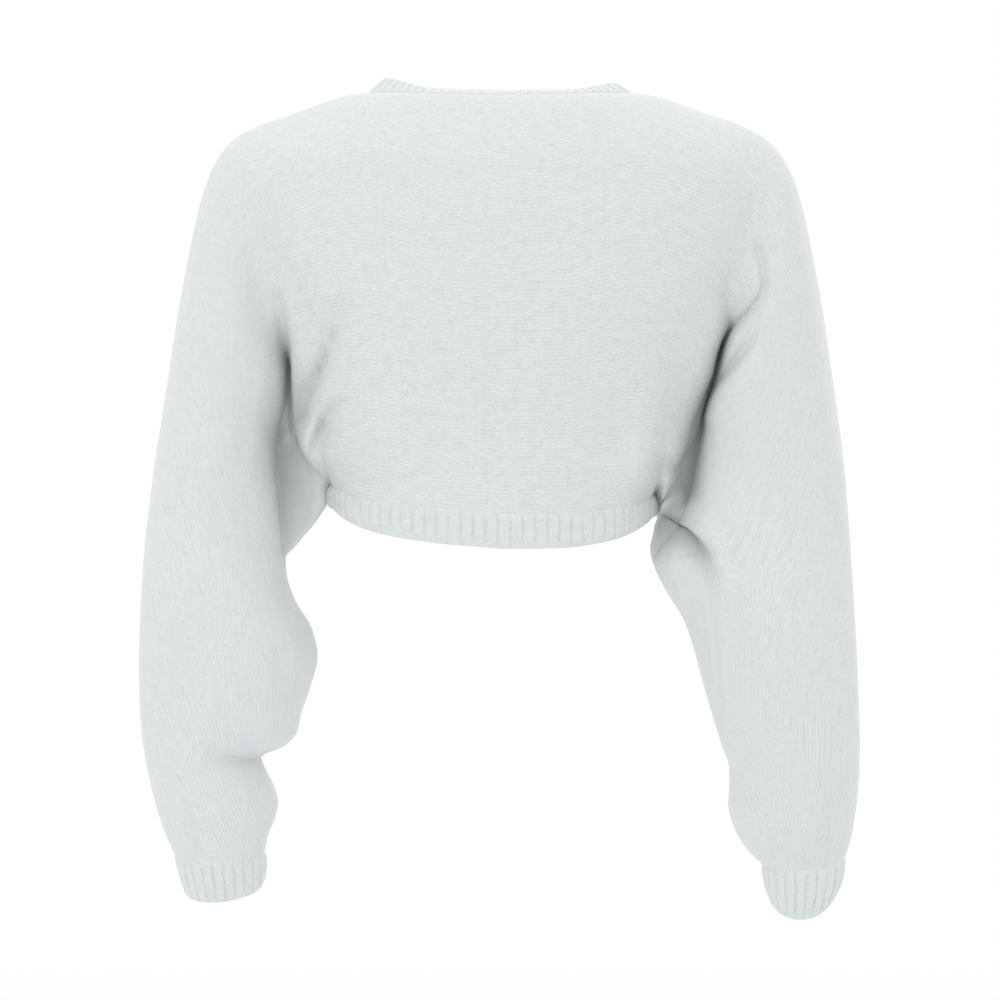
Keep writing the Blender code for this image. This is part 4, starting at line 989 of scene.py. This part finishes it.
def band_half(part, side):
    """One half of the band's seam, normals and free edge, from the middle of the back neck to the foot."""
    neck, back_neck = part["neck"], part["back_neck"]
    front, front_normals = part["front"], part["front_normals"]
    seam = [part["back"][: back_neck + 1, 0], front[neck - 1 :: -1, 0], front[0, 1:]]
    normals = [
        part["back_normals"][: back_neck + 1, 0], front_normals[neck - 1 :: -1, 0], front_normals[0, 1:]]
    foot = front[0, -1].copy()
    foot[2] -= hem_height(foot[0])
    seam = np.concatenate(seam + [foot[None]])
    normals = np.concatenate(normals + [front_normals[0, -1:]])
    along = np.concatenate([[0.0], np.cumsum(np.linalg.norm(np.diff(seam, axis=0), axis=1))])
    share = along / along[-1]
    rise, inward, forward, on_chest = (
        from_table(share, BAND_COLUMNS, BAND_ROWS, "at", name)
        for name in ("rise", "inward", "forward", "on_chest")
    )
    rise = rise * (1 - BAND_DROP["left" if side > 0 else "right"] * smooth_step(share / BAND_DROP_FROM))
    edge = seam.copy()
    edge[:, 0] -= side * inward
    edge[:, 2] += rise
    chest = seam[:, 1] + chest_place(edge[:, 0], edge[:, 2]) - chest_place(seam[:, 0], seam[:, 2])
    edge[:, 1] = (1 - on_chest) * (seam[:, 1] - forward) + on_chest * chest
    return seam, normals, edge


halves = [band_half(right, -1), band_half(left, 1)]
band_seam, band_up, band_edge = (np.concatenate([one[:0:-1], other]) for one, other in zip(*halves))
band_run = unit(np.gradient(band_seam, axis=0))
band_out = unit(np.cross(band_run, unit(band_edge - band_seam)))
band_out *= np.sign(np.sum(band_out * band_up, axis=1, keepdims=True))
band_base = np.stack([band_seam, band_edge], axis=1)
cloth["neck_band"] = add_band(
    "neck_band_rib", band_base, np.stack([band_up, band_out], axis=1), NECK_RIB_PITCH, NECK_RIB_FADE)

# %% [markdown]
# ## Cuffs
# Each cuff is a ribbed tube that draws the sleeve in and leans a little forward with the wrist.

# %% Cuffs
CUFF_RIB_PITCH = 8.8
CUFF_RIB_FADE = 5.0
CUFF_RING = 96
LEFT_CUFF_ROWS = (
    (262.4, -609.6, 190.4, -609.6, 33.0, -34.0, 0.10, 1.0),
    (258.8, -624.0, 190.2, -621.5, 32.5, -37.0, 0.17, 1.0),
    (253.5, -641.0, 192.5, -634.5, 30.0, -41.0, 0.29, 1.0),
)
RIGHT_CUFF_ROWS = (
    (278.4, -612.0, 212.8, -618.4, 31.5, -33.0, 0.12, 1.0),
    (276.5, -627.0, 214.5, -633.0, 31.0, -36.0, 0.24, 1.0),
    (266.5, -646.0, 220.5, -648.0, 28.5, -40.0, 0.46, 1.0),
)


def cuff_rings(side, table):
    rows = named(SLEEVE_COLUMNS, table)
    steps = np.linspace(0, len(rows) - 1, 4 * len(rows))
    curves = {name: steady(steps, range(len(rows)), [row[name] for row in rows]) for name in SLEEVE_COLUMNS}
    same = np.ones_like(steps)
    for name in PLAIN_ROW:
        curves.setdefault(name, PLAIN_ROW[name] * same)
    curves["top_x"] = curves["top_x"] * side
    curves["low_x"] = curves["low_x"] * side
    turn = np.linspace(0.0, 1.0, CUFF_RING // 2 + 1)[None, :] * same[:, None]
    behind, before = ring_grid(curves, turn, "back"), ring_grid(curves, turn[:, ::-1], "front")
    return np.concatenate([behind[:, :-1], before[:, :-1]], axis=1).transpose(1, 0, 2)


for side, name, table in ((1, "left", LEFT_CUFF_ROWS), (-1, "right", RIGHT_CUFF_ROWS)):
    base = cuff_rings(side, table)
    wrapped = np.concatenate([base[-1:], base, base[:1]])
    out = unit(np.cross((wrapped[2:] - wrapped[:-2]) / 2, np.gradient(base, axis=1)))
    out *= np.sign(np.sum(out * (base - base.mean(axis=0, keepdims=True)), axis=2, keepdims=True))
    cloth["cuff_" + name] = add_band(
        "cuff_" + name + "_rib", base, out, CUFF_RIB_PITCH, CUFF_RIB_FADE, closed=True)


# %% [markdown]
# ## Knit
# The yarn is a melange: pale grey with cooler and warmer hairs spun in. One shader group gives its
# mottled colour and short flecks along the wales. A second gives the stitches: columns of small V shapes,
# about 3 mm wide, that stand out as bump, and a mask of the gaps between the wales where the colour is
# darkened a little as painted shade. Both read the UV map along the wales, so the knit turns with the cloth.

# %% Helpers for shader groups
def new_group(name, inputs, outputs):
    """An empty shader group with float or vector inputs and outputs, given as (socket type, name, value)."""
    group = bpy.data.node_groups.new(name, "ShaderNodeTree")
    for kind, label, value in inputs:
        socket = group.interface.new_socket(name=label, in_out="INPUT", socket_type=kind)
        if value is not None:
            socket.default_value = value
    for kind, label in outputs:
        group.interface.new_socket(name=label, in_out="OUTPUT", socket_type=kind)
    return group, group.nodes.new("NodeGroupInput"), group.nodes.new("NodeGroupOutput")


def put(tree, kind, **settings):
    """A node, with its inputs set by number or name: a socket is linked and anything else is its value."""
    node = tree.nodes.new(kind)
    for key, value in settings.pop("props", {}).items():
        setattr(node, key, value)
    for key, value in settings.pop("ins", {}).items():
        if isinstance(value, bpy.types.NodeSocket):
            tree.links.new(value, node.inputs[key])
        else:
            node.inputs[key].default_value = value
    return node


def calc(tree, operation, *values):
    node = put(tree, "ShaderNodeMath", props={"operation": operation}, ins=dict(enumerate(values)))
    return node.outputs[0]


def blend_colours(tree, share, first, second, mode="MIX"):
    node = put(tree, "ShaderNodeMix", props={"data_type": "RGBA", "blend_type": mode, "clamp_factor": True})
    for socket, value in ((node.inputs[0], share), (node.inputs[6], first), (node.inputs[7], second)):
        if isinstance(value, bpy.types.NodeSocket):
            tree.links.new(value, socket)
        else:
            socket.default_value = value
    return node.outputs[2]


def noise(tree, vector, scale, detail):
    ins = {"Vector": vector, "Scale": scale, "Detail": detail}
    return put(tree, "ShaderNodeTexNoise", ins=ins).outputs[0]


def stretched(tree, vector, scale):
    return put(tree, "ShaderNodeMapping", ins={"Vector": vector, "Scale": scale}).outputs[0]


# %% Melange: mottled colour and flecks
PALE = (0.626, 0.646, 0.642, 1.0)
COOL = (0.548, 0.576, 0.594, 1.0)
FRESH = (0.604, 0.644, 0.624, 1.0)
FLECK_DARK = (0.42, 0.45, 0.475, 1.0)
FLECK_LIGHT = (0.73, 0.75, 0.745, 1.0)
CLOUD_SCALE = 140.0
TINT_SCALE = 300.0
HAIR_STRETCH = (420.0, 900.0, 1.0)
melange, given, made = new_group(
    "melange",
    [("NodeSocketVector", "Wales", None), ("NodeSocketFloat", "Flecks", 0.5)],
    [("NodeSocketColor", "Color"), ("NodeSocketFloat", "Hairs")])
clouds = noise(melange, given.outputs["Wales"], CLOUD_SCALE, 4.0)
tints = noise(melange, given.outputs["Wales"], TINT_SCALE, 3.0)
hairs = noise(melange, stretched(melange, given.outputs["Wales"], HAIR_STRETCH), 1.0, 2.0)
mottled = blend_colours(melange, calc(melange, "MULTIPLY_ADD", clouds, 2.2, -0.6), COOL, PALE)
mottled = blend_colours(melange, calc(melange, "MULTIPLY_ADD", tints, 3.0, -1.2), mottled, FRESH)
dark = calc(melange, "MULTIPLY_ADD", hairs, -7.0, 2.9)
dark = calc(melange, "MULTIPLY", dark, given.outputs["Flecks"])
light = calc(melange, "MULTIPLY_ADD", hairs, 7.0, -4.2)
light = calc(melange, "MULTIPLY", light, given.outputs["Flecks"])
mottled = blend_colours(melange, calc(melange, "MAXIMUM", dark, 0.0), mottled, FLECK_DARK)
mottled = blend_colours(melange, calc(melange, "MAXIMUM", light, 0.0), mottled, FLECK_LIGHT)
melange.links.new(mottled, made.inputs["Color"])
melange.links.new(hairs, made.inputs["Hairs"])

# %% Stitches: columns of V shapes
WANDER_SCALE = 24.0
GAP_STRETCH = (70.0, 420.0, 1.0)
stitches, given, made = new_group(
    "stitches",
    [("NodeSocketVector", "Wales", None), ("NodeSocketFloat", "Wale width", 0.003),
     ("NodeSocketFloat", "Stitch length", 0.0024), ("NodeSocketFloat", "Wander", 0.0006)],
    [("NodeSocketFloat", "Height"), ("NodeSocketFloat", "Gap")])
wander = noise(stitches, given.outputs["Wales"], WANDER_SCALE, 2.0)
parts = put(stitches, "ShaderNodeSeparateXYZ", ins={0: given.outputs["Wales"]})
drift = calc(stitches, "MULTIPLY", calc(stitches, "SUBTRACT", wander, 0.5), given.outputs["Wander"])
wale = calc(stitches, "DIVIDE", calc(stitches, "ADD", parts.outputs[1], drift), given.outputs["Wale width"])
wale_part = calc(stitches, "FRACT", wale)
from_middle = calc(stitches, "ABSOLUTE", calc(stitches, "SUBTRACT", wale_part, 0.5))
course = calc(stitches, "DIVIDE", parts.outputs[0], given.outputs["Stitch length"])
course = calc(stitches, "ADD", course, calc(stitches, "MULTIPLY", from_middle, 1.2))
leg = calc(stitches, "ABSOLUTE", calc(stitches, "SUBTRACT", calc(stitches, "FRACT", course), 0.5))
leg_height = calc(stitches, "SUBTRACT", 1.0, calc(stitches, "MULTIPLY", leg, leg))
side_gap = calc(stitches, "POWER", calc(stitches, "MULTIPLY", from_middle, 2.0), 2.2)
height = calc(stitches, "SUBTRACT", leg_height, side_gap)
uneven = noise(stitches, stretched(stitches, given.outputs["Wales"], GAP_STRETCH), 1.0, 2.0)
# The Gap output is painted shade: a mask of the gaps between the wales, uneven along them, that darkens the
# colour.
side_gap = calc(stitches, "MULTIPLY", side_gap, calc(stitches, "MULTIPLY_ADD", uneven, 4.0, -1.1))
side_gap = calc(stitches, "MAXIMUM", side_gap, 0.0)
stitches.links.new(height, made.inputs["Height"])
stitches.links.new(side_gap, made.inputs["Gap"])

# %% Knit materials
# GAP_SHADE is the colour of the painted shade in the gaps between the wales.
GAP_SHADE = (0.40, 0.43, 0.47, 1.0)
ROUGH_LEAST = 0.78
ROUGH_HAIRS = 0.2
HAIR_HEIGHT = 0.8
BUMP_DISTANCE = 0.0006


def knit(name, wale_width, flecks, painted_gap_shade, bump):
    """A knitted cloth. The shader stays here, and the groups only feed its colour, roughness and normal."""
    material = bpy.data.materials.new(name)
    material.use_nodes = True
    tree = material.node_tree
    shader = tree.nodes["Principled BSDF"]
    wales = put(tree, "ShaderNodeUVMap", props={"uv_map": "wales"})
    yarn = put(tree, "ShaderNodeGroup", props={"node_tree": melange})
    yarn.inputs["Flecks"].default_value = flecks
    loops = put(tree, "ShaderNodeGroup", props={"node_tree": stitches})
    loops.inputs["Wale width"].default_value = wale_width
    tree.links.new(wales.outputs[0], yarn.inputs["Wales"])
    tree.links.new(wales.outputs[0], loops.inputs["Wales"])
    # Painted shade: the base colour darkens toward GAP_SHADE in the gaps between the wales.
    shade = calc(tree, "MULTIPLY", loops.outputs["Gap"], painted_gap_shade)
    colour = blend_colours(tree, shade, yarn.outputs["Color"], GAP_SHADE, "MIX")
    tree.links.new(colour, shader.inputs["Base Color"])
    rough = calc(tree, "MULTIPLY_ADD", yarn.outputs["Hairs"], ROUGH_HAIRS, ROUGH_LEAST)
    tree.links.new(rough, shader.inputs["Roughness"])
    fuzz = calc(tree, "MULTIPLY_ADD", yarn.outputs["Hairs"], HAIR_HEIGHT, loops.outputs["Height"])
    raised = put(tree, "ShaderNodeBump", ins={"Strength": bump, "Distance": BUMP_DISTANCE, "Height": fuzz})
    tree.links.new(raised.outputs[0], shader.inputs["Normal"])
    shader.inputs["Specular IOR Level"].default_value = 0.2
    shader.inputs["Sheen Weight"].default_value = 0.25
    shader.inputs["Sheen Roughness"].default_value = 0.5
    return material


jersey = knit("jersey_knit", 0.0028, 0.65, 0.18, 0.28)
rib_knit = knit("rib_knit", 0.0026, 0.50, 0.12, 0.25)

# %% [markdown]
# ## What each sheet is
# Each sheet replaces its solid, which is hidden, rides with the garment and takes its knit. Its flat cut is
# only listed in the table and not put on the sheet: the panels from cuff to cuff, the rib strips by their
# length and height, and the cuffs all round.

# %% Finishes and flat cuts
CUT_COLUMNS = ("node", "slot", "width", "length", "area")
CUT_ROWS = (
    ("back", "jersey", 1.58, 0.42, 0.33),
    ("front_left", "jersey", 0.80, 0.42, 0.155),
    ("front_right", "jersey", 0.80, 0.42, 0.155),
    ("hem_back", "rib", 0.36, 0.027, None),
    ("hem_front_left", "rib", 0.17, 0.027, None),
    ("hem_front_right", "rib", 0.17, 0.027, None),
    ("neck_band", "rib", 0.92, 0.024, None),
    ("cuff_left", "rib", 0.20, 0.036, None),
    ("cuff_right", "rib", 0.20, 0.040, None),
)
for row in named(CUT_COLUMNS, CUT_ROWS):
    piece = cloth[row["node"]]
    piece.data.materials.append(jersey if row["slot"] == "jersey" else rib_knit)
    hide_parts(row["node"])
